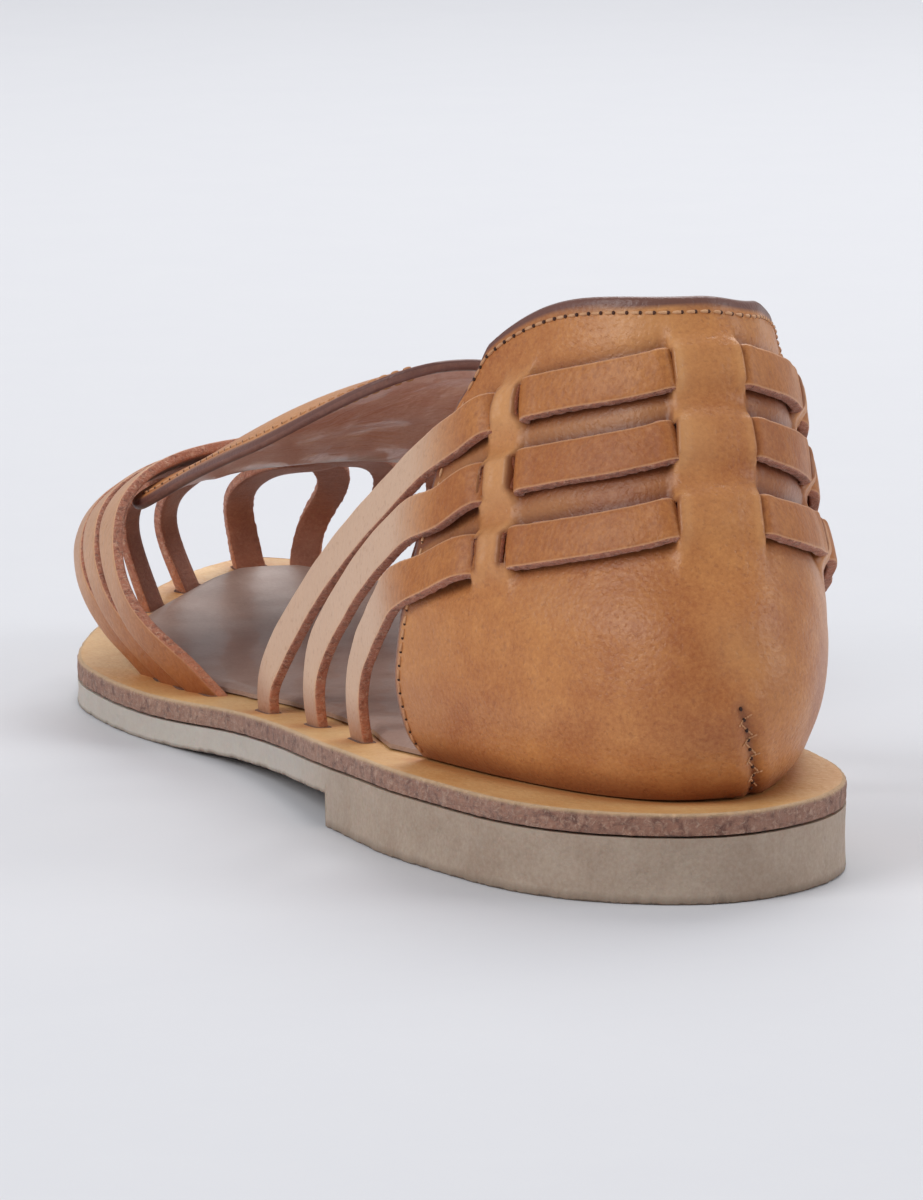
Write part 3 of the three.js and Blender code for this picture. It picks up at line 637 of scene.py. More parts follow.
# Lining: the layer in (196, 176, 166) is painted reflection, and the one in (112, 58, 44) painted shade in
# the apron's folds and on the counter's inside
LINING = finish("lining_leather", {"grain": 800.0, "creases": 48.0}, (204, 132, 104), [
    ((234, 180, 150), "grain Mottle", 0.9), ((196, 176, 166), "painted_highlight", 0.75), ((112, 58, 44), "painted_shading", 0.6),
    PAINT], [("creases", 0.3, 0.0009), ("grain", 0.2, 0.0002)], (0.44, 0.34), Coat_Weight=0.12)
# Insole: its pale grey-brown tone is painted reflection over dark brown leather
SOCK = finish("insole_dark_leather", {"grain": 750.0, "creases": 26.0}, (146, 116, 102), [
    ((182, 158, 146), "grain Mottle", 0.7)],
    [("creases", 0.1, 0.0005), ("grain", 0.15, 0.0002)], (0.40, 0.34), Coat_Weight=0.1)
# Midsole top: the layer in (196, 120, 62) is painted shade round the counter's seat and the straps' feet
SOLE_TOP = finish("midsole_top_leather", {"grain": 850.0}, (214, 158, 96), [
    ((240, 200, 142), "grain Mottle", 0.9), ((196, 120, 62), "painted_shading", 0.8)],
    [("grain", 0.35, 0.0003)], (0.48, 0.38))
SOLE_EDGE = finish("midsole_cut_edge", {"fibre": 0.75, "grain": 300.0}, (156, 110, 92), [
    ((182, 140, 118), "grain Mottle", 0.8), ((108, 72, 62), "fibre Dark", 0.75),
    ((214, 182, 160), "fibre Pale", 0.65), ((232, 196, 152), "rim", 0.9)],
    [("fibre", 0.9, 0.0011)], rough=0.85, specular=0.25, sheen=0.2)
# Crepe: the layer in (206, 201, 193) pales it towards the toe as painted light, and the one in (124, 104, 88)
# is painted shade along its bottom edge, where it meets the floor
CREPE = finish("crepe_rubber", {"grain": 420.0}, (160, 138, 120), [
    ((192, 174, 156), "grain Mottle", 0.8), ((206, 201, 193), "fore", 0.6), ((124, 104, 88), "floor_line_shade", 0.75)],
    [("grain", 0.35, 0.0006)], (0.66, 0.52), specular=0.4, Subsurface_Weight=0.12, Subsurface_Scale=0.004)
THREAD = thread("waxed_thread", (216, 168, 124), (184, 126, 84), 0.55)
HOLE = thread("needle_hole", (86, 50, 36), (48, 28, 22), 0.8)
# Slot rims: dark as painted shade where each strap's foot goes down into the sole
SLOT = cut_edge("shaded_slot_rim", (120, 70, 42), (176, 116, 72), (66, 38, 26), 0.7)


# Sole
SOLE_TURNS = np.linspace(0.004, np.pi - 0.004, 440)


def sole_piece(flank, top_at, roughness, side_finish, top_finish, turns, top_columns):
    """A layer of the sole: flank gives (inset, height) up a side, and top_at the height across it."""
    sides = []
    for side in (-1, 1):
        wall = np.stack([np.concatenate([sole_edge(turns, side, inset), height[:, None]], -1)
                         for inset, height in flank((1 - np.cos(turns)) / 2, turns)], 1)
        outward = sole_edge(turns, side, -1) - sole_edge(turns, side, 0)
        rough = ripple(wall, 3.2, 3) + 0.8 * ripple(wall, 1.9, 4)
        wall[:, 1:-1, :2] += outward[:, None] * (rough * roughness)[:, 1:-1, None]
        sides.append(wall)
    left, right = sides
    shares = np.linspace(0, 1, top_columns + 2)[1:-1]
    across = left[:, -1:, :] + (right[:, -1:, :] - left[:, -1:, :]) * shares[None, :, None]
    across[..., 2] = top_at(across[..., 1] / LENGTH) + 0.05 * ripple(across, 9, 8)
    loop = np.concatenate([left, across, right[:, ::-1]], 1)
    depth = left.shape[1]
    bands = [side_finish] * (depth - 1) + [top_finish] * (top_columns + 1) + [side_finish] * depth
    faces, finish_of_face = loops_to_faces(len(turns), loop.shape[1], bands)
    return loop, faces, finish_of_face, depth


def outsole_top(along):
    return sole_top(along) - MIDSOLE_THICKNESS - CLEARANCE


def outsole_flank(along, turns):
    """Up from a rough, saw-cut lower edge, with a faint hollow in the side."""
    top = outsole_top(along)
    under = np.where(along * LENGTH < HEEL_BREAST, 0, np.maximum(0, top - OUTSOLE_THICKNESS))
    notch = np.stack([turns * 90, np.zeros_like(turns), np.zeros_like(turns)], -1)
    saw = 0.16 * np.clip(ripple(notch, 5.0, 12) + 0.9 * ripple(notch, 1.2, 13), 0, 1.4)
    rings = [(0.7, under), (0.25, under + 0.02 + saw * 0.5), (0.0, under + 0.22 + saw)]
    return rings + [(0.15 * np.sin(np.pi * share), mix(under + 0.3 + saw, top, share))
                    for share in np.linspace(0.12, 1, 9)]


breast_turns = turn_at(HEEL_BREAST) + np.array([-0.004, -0.0012, 0.0012, 0.004])
outsole_turns = np.sort(np.concatenate([SOLE_TURNS, breast_turns]))
loop, faces, face_finish, _ = sole_piece(outsole_flank, outsole_top, 0.03, 0, 0, outsole_turns, 6)
# Painted shade on the bottom three rings of each side, along the floor line, and painted light paling the
# crepe towards the toe
floor_line_shade = np.zeros(loop.shape[:2])
floor_line_shade[:, [0, 1, 2, -3, -2, -1]] = 1
place_mesh("outsole_crepe", "outsole", loop, faces, [CREPE], face_finish,
           {"fore": smooth(loop[..., 1], 60, 110), "floor_line_shade": floor_line_shade}, 40)


def midsole_flank(along, turns):
    """Nearly upright, with a small round at its upper edge."""
    top = sole_top(along)
    rings = [(0.5, top - MIDSOLE_THICKNESS), (0.12, top - MIDSOLE_THICKNESS + 0.08)]
    rings += [(0.02 + 0.10 * abs(share - 0.5), mix(top - MIDSOLE_THICKNESS, top, share))
              for share in np.linspace(0.1, 0.86, 9)]
    return rings + [(0.14, top - 0.24), (0.34, top - 0.07), (0.62, top)]


# Insole
def insole_margin(along, side):
    inset = foot_inset(along, side)
    margin = mix(INSOLE_MARGIN, TOE_INSOLE_MARGIN, smooth(along, 0.72, 0.9))
    return np.maximum(margin * mix(0.6, 1, smooth(along, COUNTER_FRONT, COUNTER_FRONT + 0.12)),
                      smooth(along, 0.45, 0.58) * (inset + STRAP_THICKNESS / 2 + INSOLE_GAP))


heel_turns = np.linspace(0.10, 0.92, 30)
fore_turns = np.linspace(turn_at(COUNTER_FRONT * LENGTH + INSOLE_MARGIN), np.pi - 0.25, 240)
left, right = (
    np.concatenate([counter_point(side * heel_turns, SEAT, -WALL / 2 - LINING_GAP)[:, :2],
                    sole_edge(fore_turns, side, insole_margin((1 - np.cos(fore_turns)) / 2, side))])
    for side in (-1, 1))
shares = np.linspace(0, 1, 34)
sheet = left[:, None] + (right - left)[:, None] * shares[None, :, None]
base = sole_top(sheet[..., 1] / LENGTH) + CLEARANCE
rim = np.minimum(shares, 1 - shares) * np.linalg.norm(right - left, axis=-1)[:, None]
crown = INSOLE_THICKNESS - 0.5 * (1 - share_of(rim / 1.2)) ** 2
lower = np.concatenate([sheet, base[..., None]], -1)
dished = 0.12 * ripple(lower, 26, 5) + 0.05 * ripple(lower, 7, 6)
upper = np.concatenate([sheet, (base + crown + dished * share_of(rim / 4))[..., None]], -1)
loop = np.concatenate([upper, lower[:, ::-1]], 1)
faces, face_finish = loops_to_faces(len(loop), loop.shape[1], [0] * loop.shape[1])
place_mesh("insole_sock", "insole", loop, faces, [SOCK], face_finish, None, 60)


# Walls with real thickness, rounded rims and cut slits
def wall_piece(name, node, outer, inner, kept, marks):
    """Quads between two grids of points, where kept says so, closed along every rim and slit.
    Its finishes are for the outside, the inside, the rims and the slits."""
    rows, columns = outer.shape[:2]
    count = rows * columns
    faces, finish_of_face = [], []
    for i in range(rows - 1):
        for j in range(columns - 1):
            if not kept[i, j]:
                continue
            a = i * columns + j
            b, c, d = a + columns, a + columns + 1, a + 1
            faces += [(a, b, c, d), (d + count, c + count, b + count, a + count)]
            finish_of_face += [0, 1]
            for di, dj, p, q in ((-1, 0, d, a), (1, 0, b, c), (0, -1, a, b), (0, 1, c, d)):
                ni, nj = i + di, j + dj
                outside = not (0 <= ni < rows - 1 and 0 <= nj < columns - 1)
                if outside or not kept[ni, nj]:
                    faces.append((q, p, p + count, q + count))
                    finish_of_face.append(2 if outside else 3)
    points = np.concatenate([outer.reshape(-1, 3), inner.reshape(-1, 3)])
    used = np.zeros(len(points), bool)
    used[np.array(faces).ravel()] = True
    faces = (np.cumsum(used) - 1)[np.array(faces)].tolist()
    marks = {key: np.concatenate([both[0].ravel(), both[1].ravel()])[used] for key, both in marks.items()}
    place_mesh(name, node, points[used], faces, [TAN, LINING, PAINTED, STRAP_EDGE],
               finish_of_face, marks, 55)


def rounded(distance):
    """How much of the wall's half thickness is left this far from a rim."""
    near = 1 - share_of(distance / RIM_RADIUS)
    return 0.42 + 0.58 * np.sqrt(np.maximum(1 - near ** 2, 0))


def column_weight(turn, height):
    """1 on the upright bands of wall that the straps pass under, and 0 between them."""
    away = np.abs(turn)
    lean = share_of((height - row_height(0, 0.8)) / (row_height(2, 0.8) - row_height(0, 0.8)))
    low, high = ((ROWS["corner"][row] + ROWS["exit"][row]) / 2 for row in (0, 2))
    return np.maximum(1 - smooth(away, REAR_SLIT - 0.02, REAR_SLIT + 0.035),
                      1 - smooth(np.abs(away - mix(low, high, lean)), 0.042, 0.075))


def row_weight(turn, height):
    return share_of(sum(np.exp(-((height - row_height(row, turn)) / 3.6) ** 4) for row in range(3)))


# The sewn dart at the back, as (x, z) of its two ends, and the dimple above it
DART_FOOT, DART_TIP, DIMPLE = (8.7, 14.2), (4.0, 28.5), (3.4, 34.0)


def dart_distance(points):
    foot, tip = np.array(DART_FOOT), np.array(DART_TIP)
    line = tip - foot
    seen = points[..., [0, 2]] - foot
    share = share_of((seen @ line) / (line @ line))
    gap = np.linalg.norm(seen - share[..., None] * line, axis=-1)
    return np.where(points[..., 1] < BACK_OF_HEEL, gap, 99.0)


def counter_lift(turn, height):
    """How far the wall is pushed out by the straps under it, and drawn in at its seat and dart."""
    away = np.abs(turn)
    band = smooth(height, row_height(0, away) - 9, row_height(0, away) - 4) \
        * (1 - smooth(height, row_height(2, away) + 4, row_height(2, away) + 8))
    column, row = column_weight(turn, height), row_weight(turn, height)
    base = counter_base(turn, height)
    gap = dart_distance(base)
    lift = column * band * (COLUMN_BULGE + COLUMN_WAVE * (row - 0.4) * np.where(away > 0.4, 1.5, 1.0))
    lift = lift - 0.4 * (1 - column) * row * smooth(away, 0.95, 0.8)
    for level in range(3):
        crevice = (height - row_height(level, turn) - HEEL_STRAP_WIDTH / 2 - 0.5) / 1.3
        lift = lift - 0.45 * (1 - column) * bell(crevice, 1)
    lift = lift + 0.16 * ripple(base, 15, 21) * smooth(height, SEAT, SEAT + 12)
    lift = lift - 1.5 * (1 - share_of((height - SEAT) / 5)) ** 2
    lift = lift - 0.55 * bell(gap, 0.8) + 0.35 * bell(gap - 2.2, 1.4) * (gap < 50)
    dimple = np.hypot(base[..., 0] - DIMPLE[0], base[..., 2] - DIMPLE[1])
    return lift - 0.5 * bell(dimple, 4.5) * (base[..., 1] < BACK_OF_HEEL)


# The wall's grid: even steps round it, but exact ones beside every slit and at the front edge
ARC = np.linalg.norm(np.diff(counter_base(np.linspace(0, 1, 300), 55.0), axis=0), axis=1).sum()
slit = SLIT_OPENING / 2 / ARC
exact = np.round([0.0, 0.983, 0.991, 0.997, 1.0, *SLIT_PLACES, *(
    place + way * (slit + step) for place in SLIT_PLACES
    for step in (0, 0.004, 0.009, 0.015, 0.022) for way in (-1, 1))], 4)
keep = []
for value in np.unique(np.concatenate([np.round(np.linspace(0, 0.97, 112), 4), exact])):
    from_exact = np.min(np.abs(exact - value))
    if from_exact < 1e-9 or (value - keep[-1] > 0.0035 and from_exact > 0.0025):
        keep.append(value)
grid_u = np.concatenate([-np.array(keep[1:])[::-1], keep])
spans = ((0, 0.4, 44), (0.4, 0.5, 13), (0.5, 0.6, 8), (0.6, 0.7, 13), (0.7, 0.8, 8), (0.8, 0.9, 13),
         (0.9, 0.985, 12))
grid_v = np.concatenate([np.linspace(*span) for span in spans] + [[0.99, 0.996, 1.0]])
grid_v = np.unique(np.round(grid_v, 5))
U, V = np.meshgrid(grid_u, grid_v, indexing="ij")

# From the grid to turns and heights: T follows each row's own slits, and H its slope
corner, leave = (np.interp(V, np.mean(SLIT_BANDS, axis=1), ROWS[column]) for column in ("corner", "exit"))
stops = list(zip((*SLIT_PLACES, 1.0), (REAR_SLIT, corner, leave, 1.0)))
away = np.abs(U)
T = away
for (place, turn), (next_place, next_turn) in zip(stops, stops[1:]):
    T = np.where(away >= place, turn + (away - place) / (next_place - place) * (next_turn - turn), T)
T = T * np.sign(U)
half_slit = HEEL_STRAP_WIDTH / 2 - SLIT_SHORTENING
steps = [np.full_like(T, SEAT)]
for row in range(3):
    steps += [row_height(row, T) - half_slit, row_height(row, T) + half_slit]
steps.append(topline(T))
levels = [0.0, *np.ravel(SLIT_BANDS), 1.0]
H = np.zeros_like(T)
for low, high, below, above in zip(levels, levels[1:], steps, steps[1:]):
    H = np.where((V >= low) & (V <= high), mix(below, above, (V - low) / (high - low)), H)

mid_u, mid_v = np.abs(grid_u[:-1] + grid_u[1:]) / 2, (grid_v[:-1] + grid_v[1:]) / 2
in_slit = np.any([np.abs(mid_u - place) < slit for place in SLIT_PLACES], axis=0)
in_row = np.any([(mid_v > low) & (mid_v < high) for low, high in SLIT_BANDS], axis=0)
front_gap = (1 - np.abs(T)) * ARC
slit_gap, lips = np.full_like(T, 9.0), np.zeros_like(T)
for place in SLIT_PLACES:
    for low, high in SLIT_BANDS:
        across = np.maximum(np.abs(np.abs(U) - place) - slit, 0) * ARC
        up = np.maximum(np.maximum(low - V, V - high), 0) * WALL_RISE
        slit_gap = np.minimum(slit_gap, np.hypot(across, up))
        lips = np.maximum(lips, np.exp(-(across / 2.0) ** 2 - (up / 1.1) ** 2))
half = WALL / 2 * rounded(np.minimum(np.minimum(topline(T) - H, front_gap), slit_gap * 0.9))
column = column_weight(T, H)
lift = counter_lift(T, H) + (smooth(column, 0.5, 0.72) * 0.9 - 0.3) * lips
gap = dart_distance(counter_base(T, H))

# Painted shade beside and between the straps, low on the wall by its seat, along the dart and round the
# slits; painted highlight in broad patches, on the raised bands and beside the slits; edge paint along the
# rim
beside = np.zeros_like(T)
for row in range(3):
    from_strap = np.maximum(np.abs(H - row_height(row, T)) - HEEL_STRAP_WIDTH / 2, 0)
    beside = np.maximum(beside, bell(from_strap, np.where(H > row_height(row, T), 1.0, 0.7)))
between = smooth(H, row_height(0, T) - 2, row_height(0, T)) \
    * smooth(H, row_height(2, T) + 2, row_height(2, T))
painted_shading = 0.7 * (1 - smooth(H, SEAT, SEAT + 7)) + 0.7 * bell(gap, 0.7) + 0.7 * bell(slit_gap, 0.5) \
    + (0.7 * beside + 0.35 * between) * (1 - column) * (np.abs(T) > REAR_SLIT)
painted_highlight = 0.6 * smooth(ripple(counter_base(T, H), 40, 31), 0.1, 1.2) + 0.25 * column * row_weight(T, H) \
    + 0.45 * bell(slit_gap - 1.4, 0.9) * (column > 0.5)
paint = smooth(topline(T) - H, PAINT_WIDTH + 0.25, PAINT_WIDTH - 0.25) + smooth(front_gap, 0.7, 0.4)
painted_shading, painted_highlight, paint = (share_of(mark) for mark in (painted_shading, painted_highlight, paint))
wall_piece("counter_wall", "heel_counter", counter_point(T, H, lift + half), counter_point(T, H, lift - half),
           ~(in_slit[:, None] & in_row),
           {"painted_shading": (painted_shading, painted_shading * 0.4), "painted_highlight": (painted_highlight, painted_highlight * 0), "paint": (paint, paint)})

# Apron, from its back edge at the throat to its front one, with soft folds inside its front half
APRON_BACK, APRON_FRONT = APRON["along"][0], APRON["along"][-1]
grid_a = np.concatenate([[APRON_BACK, 0.4945, 0.4955, 0.497], np.linspace(0.4995, 0.806, 110),
                         [0.809, 0.811, 0.8116, APRON_FRONT]])
grid_s = np.concatenate([[0, 0.006, 0.014, 0.024], np.linspace(0.04, 0.96, 66), [0.976, 0.986, 0.994, 1]])
A, S = np.meshgrid(grid_a, grid_s, indexing="ij")
low_side, high_side = read(APRON, "along", "lateral", A), read(APRON, "along", "medial", A)
R = mix(low_side, high_side, S)
base = last_base(A, R)
span = (high_side - low_side) * APRON_SPAN
edge_gap = np.minimum(np.minimum(S, 1 - S) * span, np.minimum(A - APRON_BACK, APRON_FRONT - A) * LENGTH)
half = WALL / 2 * rounded(edge_gap)
fold, inland = smooth(A, 0.56, 0.68), share_of(edge_gap / 5)
waves = fold * inland * (0.55 * ripple(base * [1, 0.45, 1.2], 15, 41)
                         + 0.2 * ripple(base * [1.2, 0.5, 1], 7, 42))


def apron_sag(base):
    return 0.12 * ripple(base, 22, 43)


outer = last_point(A, R, WALL / 2 + apron_sag(base) + half)
inner = last_point(A, R, WALL / 2 + apron_sag(base) - half + waves * 0.8 - 0.35 * fold * inland)
# Painted shade along the apron's outer edges and in its folds inside; painted highlight in broad patches
# outside, and painted reflection on the lining near its edges beyond the throat; edge paint along the throat
painted_shading = share_of(0.3 * bell(edge_gap, 0.8))
painted_highlight = 0.6 * smooth(ripple(base, 30, 44), 0, 1.2)
throat = (A < np.where(S < 0.5, THROAT["lateral"][0], THROAT["medial"][1])).astype(float)
wall_piece("instep_apron", "vamp_apron", outer, inner, np.ones_like(A, bool),
           {"painted_shading": (painted_shading, 0.25 * fold), "painted_highlight": (painted_highlight, (1 - throat) * smooth(edge_gap, 9, 2)),
            "paint": (throat * smooth(edge_gap, 1.1, 0.7), throat * smooth(edge_gap, 2.0, 1.5))})


# Straps
def along_curve(points, spacing):
    """A smooth curve through the points, read at even steps, with what else is carried beside the place."""
    run = np.maximum(np.linalg.norm(np.diff(points[:, :3], axis=0), axis=1), 1e-3)
    reach = np.concatenate([[0], np.cumsum(run)])
    run = np.diff(reach)
    slope = np.diff(points, axis=0) / run[:, None]
    inner = (slope[:-1] * run[1:, None] + slope[1:] * run[:-1, None]) / (run[1:] + run[:-1])[:, None]
    tangent = np.concatenate([slope[:1], inner, slope[-1:]])
    at = np.linspace(0, reach[-1], int(reach[-1] / spacing) + 1)
    i = np.clip(np.searchsorted(reach, at, side="right") - 1, 0, len(run) - 1)
    return hermite(((at - reach[i]) / run[i])[:, None], run[i][:, None],
                   points[i], points[i + 1], tangent[i], tangent[i + 1])


# Half of a strap's section, from the middle of the grain side to the middle of the back
SECTION = table(("across", "through"), [
    (0.00, 1.10), (0.35, 1.08), (0.66, 1.03), (0.86, 0.96), (0.95, 0.84), (0.99, 0.62), (1.00, 0.30),
    (1.00, -0.10), (1.00, -0.48), (0.99, -0.80), (0.93, -0.96), (0.55, -1.00), (0.00, -1.00)])
GRAIN_BANDS, EDGE_BANDS = 4, 10


def strap_piece(name, node, stations, free, rounds, relaxed, seed):
    """A strap through stations, which are rows of place, outward direction and width. free says how
    much painted light lightens the strap at a place, and relaxed how freely the strap takes out its
    corners there, over that many rounds. It gives back the two stations where the strap meets the sole."""
    line = along_curve(stations, STRAP_STEP)
    ease = relaxed(line[:, :3])[1:-1, None]
    for _ in range(rounds):
        halfway = (line[:-2] + line[2:]) / 2
        line[1:-1] += (halfway - line[1:-1]) * 0.5 * ease
    centre, out, width = line[:, :3], line[:, 3:6], line[:, 6]
    ahead = unit(np.gradient(centre, axis=0))
    out = unit(out - (out * ahead).sum(-1, keepdims=True) * ahead)
    across = np.cross(ahead, out)
    a = np.concatenate([SECTION["across"], -SECTION["across"][-2:0:-1]])
    b = np.concatenate([SECTION["through"], SECTION["through"][-2:0:-1]])
    wide = width[:, None] / 2 * (1 + 0.012 * ripple(centre, 12, seed)[:, None])
    points = centre[:, None] + across[:, None] * (wide * a)[..., None] \
        + out[:, None] * (STRAP_THICKNESS / 2 * b)[None, :, None]
    torn = np.where(np.abs(a) > 0.97, 1, 0) * np.sign(a)
    points = points + across[:, None] * (torn * (0.07 * ripple(points, 1.3, seed + 1)
                                                 + 0.05 * ripple(points, 0.7, seed + 2)))[..., None]
    points = points + out[:, None] * (0.05 * ripple(points, 8, seed + 3))[..., None]
    size = len(a)
    from_middle = [min(j, size - 1 - j) for j in range(size)]
    bands = np.digitize(from_middle, (GRAIN_BANDS, EDGE_BANDS)).tolist()
    faces, finish_of_face = loops_to_faces(len(points), size, bands)
    # Painted shade low on each strap near the sole; free is painted light; rim is a pale line along each
    # edge, partly edge wear and partly painted highlight
    low = 1 - smooth(centre[:, 2] - sole_top(share_of(centre[:, 1] / LENGTH)), 0.4, 9.0)
    marks = {"free": free(centre)[:, None], "painted_shading": 0.8 * low[:, None],
             "rim": np.where(np.abs(np.abs(a) - 0.93) < 0.05, 0.8, 0.0)}
    marks = {key: np.broadcast_to(values, points.shape[:2]) for key, values in marks.items()}
    place_mesh(name, node, points, faces, [STRAP_TAN, STRAP_EDGE, STRAP_BACK],
               finish_of_face, marks, 60)
    return [stations[1], stations[-2]]


def foot_stations(along, across, outward, width):
    top = float(sole_top(along))
    return [[across + outward[0] * swell, along * LENGTH, top + rise, *outward, width]
            for rise, swell in ((FOOT_RISE + 2, 0.9), (FOOT_RISE - 1, 0.7), (0, 0.0), (-SLOT_DEPTH, -0.5))]


def heel_stations(row, name):
    """From the outer foot up through the wall's slits, round the heel and down to the inner foot."""
    corner_at, exit_at = ROWS["corner"][row], ROWS["exit"][row]
    stops = [(REAR_SLIT * 0.5, UNDER), (REAR_SLIT - DIVE, UNDER), (REAR_SLIT + DIVE, OVER),
             (REAR_SLIT + 0.09, OVER), (REAR_SLIT + 0.2, OVER), ((REAR_SLIT + corner_at) / 2, OVER),
             (corner_at - 0.15, OVER), (corner_at - 0.07, OVER), (corner_at - DIVE, OVER),
             (corner_at + DIVE, UNDER), (exit_at - DIVE, UNDER), (exit_at + DIVE, OVER),
             (FRONT_MARGIN, OVER + 0.2)]

    def woven(side, turn, offset):
        height = float(row_height(row, turn))
        turn = np.array(side * turn)
        return [*counter_point(turn, height, offset), *counter_out(turn, height), HEEL_STRAP_WIDTH]

    def half(side, column):
        run, foot = FREE_RUNS[name], HEEL_FEET[name]
        tilts = np.radians(run["tilt"])
        free = [[side * across * HEEL_WIDTH / 2, along * LENGTH, height * COUNTER_HEIGHT,
                 side * math.cos(tilt), 0, math.sin(tilt), HEEL_STRAP_WIDTH]
                for across, along, height, tilt in zip(run[column], run["along"], run["height"], tilts)]
        return [woven(side, *stop) for stop in stops] + free + foot_stations(
            foot["along"], side * foot[column] * HEEL_WIDTH / 2, (side, 0, 0), HEEL_STRAP_WIDTH)

    return np.array(half(-1, "lateral")[::-1] + [woven(1, 0.0, UNDER)] + half(1, "medial"))


feet = []
for row, name in enumerate(ROW_NAMES):
    # Heel straps are painted lighter from 50 to 68 mm forward: painted light on their free runs
    feet += strap_piece(f"heel_strap_{name}_leather", f"heel_strap_{name}", heel_stations(row, name),
                        lambda centre: smooth(centre[:, 1], 50, 68),
                        HEEL_ROUNDS, lambda centre: smooth(centre[:, 1], 57, 66), 60 + 10 * row)

# Vamp straps: paths on the last first, then each crossing lifts one strap over the other
BASE_LIFT = WALL + LINING_GAP + STRAP_THICKNESS / 2 + 0.35
PATH_POINTS, PATH_STEP = 71, 5
paths, at = [], np.linspace(1, 8, PATH_POINTS)
for run in VAMP_RUNS:
    ticks = {"tick": np.arange(10.0), **run}
    along, around, narrow = (read(ticks, "tick", column, at) for column in CROSSING)
    paths.append((along, around, last_point(along, around, BASE_LIFT), narrow))
lifts = np.zeros((6, PATH_POINTS))
for i in range(3):
    for j in range(3, 6):
        spread = np.linalg.norm(paths[i][2][:, None] - paths[j][2][None], axis=-1)
        at_i, at_j = np.unravel_index(np.argmin(spread), spread.shape)
        over = 1 if (i + j) % 2 == 1 else -1
        if spread[at_i, at_j] <= CROSSING_REACH:
            for index, spot, sign in ((i, at_i, over), (j, at_j, -over)):
                reach = np.linalg.norm(paths[index][2] - paths[index][2][spot], axis=-1)
                lifts[index] += sign * WEAVE_LIFT * np.exp(-(reach / 5.2) ** 4)


def vamp_foot(run, index, above):
    """From the strap's end straight down into its slot."""
    x, y = foot_line(run["along"][index], np.sign(run["around"][index]))
    seat = np.array([x, y, float(sole_top(y / LENGTH))])
    rise = above[:3] - seat
    rise[2] = max(rise[2], math.hypot(rise[0], rise[1]))
    outward = unit(above[3:6] * [1, 1, 0])
    width = mix(VAMP_STRAP_WIDTH, TOE_STRAP_WIDTH, run["narrow"][index])
    return [[*(seat + rise * (height / rise[2])), *outward, width] for height in (FOOT_RISE, 0, -SLOT_DEPTH)]


for number, (run, (along, around, _, narrow), lift) in enumerate(zip(VAMP_RUNS, paths, lifts)):
    places = last_point(along, around, BASE_LIFT + np.clip(lift, -1, 1))
    outs = unit(last_out(along, around) + np.array([0, SHINGLE, 0]))
    widths = mix(VAMP_STRAP_WIDTH, TOE_STRAP_WIDTH, narrow) - STRAP_EASE \
        - FLANK_NARROWING * smooth(np.abs(around), 0.4, 0.75)
    body = np.concatenate([places, outs, widths[:, None]], -1)[::PATH_STEP]
    stations = np.array(vamp_foot(run, 0, body[0])[::-1] + body.tolist() + vamp_foot(run, 9, body[-1]))
    # Vamp straps are painted lighter from 10 to 30 mm up: painted light on their upper parts
    feet += strap_piece(f"vamp_strap_{number + 1}_leather", "vamp_straps", stations,
                        lambda centre: 0.6 * smooth(centre[:, 2], 10, 30), VAMP_ROUNDS,
                        lambda centre: 1 - smooth(centre[:, 2], 26, 36) * 0.92, 120 + 10 * number)

# Midsole, with painted shade round the counter's seat and the straps' slots
loop, faces, face_finish, depth = sole_piece(midsole_flank, sole_top, 0.08, 1, 0, SOLE_TURNS, 60)
rim_mark = np.zeros(loop.shape[:2])
for column, weight in ((depth - 1, 1.0), (depth - 2, 1.0), (depth - 3, 0.75), (depth - 4, 0.25)):
    rim_mark[:, [column, loop.shape[1] - 1 - column]] = weight
heel_seat = counter_base(np.linspace(-1, 1, 160), SEAT)[:, :2]
from_seat = np.min(np.linalg.norm(loop[:, :, None, :2] - heel_seat, axis=-1), axis=-1)
from_foot = np.min([np.linalg.norm(loop[..., :2] - row[:2], axis=-1) for row in feet], axis=0)
dark = share_of(0.9 * bell(from_seat, 2.2) + 0.8 * bell(from_foot, 4.2))
place_mesh("midsole_leather", "midsole", loop, faces, [SOLE_TOP, SOLE_EDGE], face_finish,
           {"rim": rim_mark, "painted_shading": dark}, 60)

# Dark rims of the slots that the straps' feet go down into: a slightly raised lip, darkened as painted shade
RIM_RINGS = ((-0.35, 0.0), (0.12, 0.05), (0.32, 0.10), (0.55, 0.03), (0.6, -0.2))
angles = np.linspace(0, 2 * np.pi, 36, endpoint=False)
for number, foot_row in enumerate(feet):
    centre, out = foot_row[:3], unit(foot_row[3:6] * [1, 1, 0])
    across = np.array([-out[1], out[0], 0])
    rings = []
    for grow, rise in RIM_RINGS:
        wide, thick = foot_row[6] / 2 + grow, STRAP_THICKNESS / 2 + grow
        a = np.sign(np.cos(angles)) * np.abs(np.cos(angles)) ** 0.35 * wide
        b = np.sign(np.sin(angles)) * np.abs(np.sin(angles)) ** 0.55 * thick
        ring = centre + across * a[:, None] + out * b[:, None]
        ring[:, 2] = sole_top(share_of(ring[:, 1] / LENGTH)) + rise
        rings.append(ring)
    size, turned = len(angles), np.roll(np.arange(len(angles)), -1).tolist()
    faces = [(i * size + j, i * size + turned[j], k * size + turned[j], k * size + j)
             for i, k in ((0, 1), (1, 2), (2, 3), (3, 4), (4, 0)) for j in range(size)]
    place_mesh(f"shaded_slot_rim_{number + 1}", None, np.array(rings), faces, [SLOT])


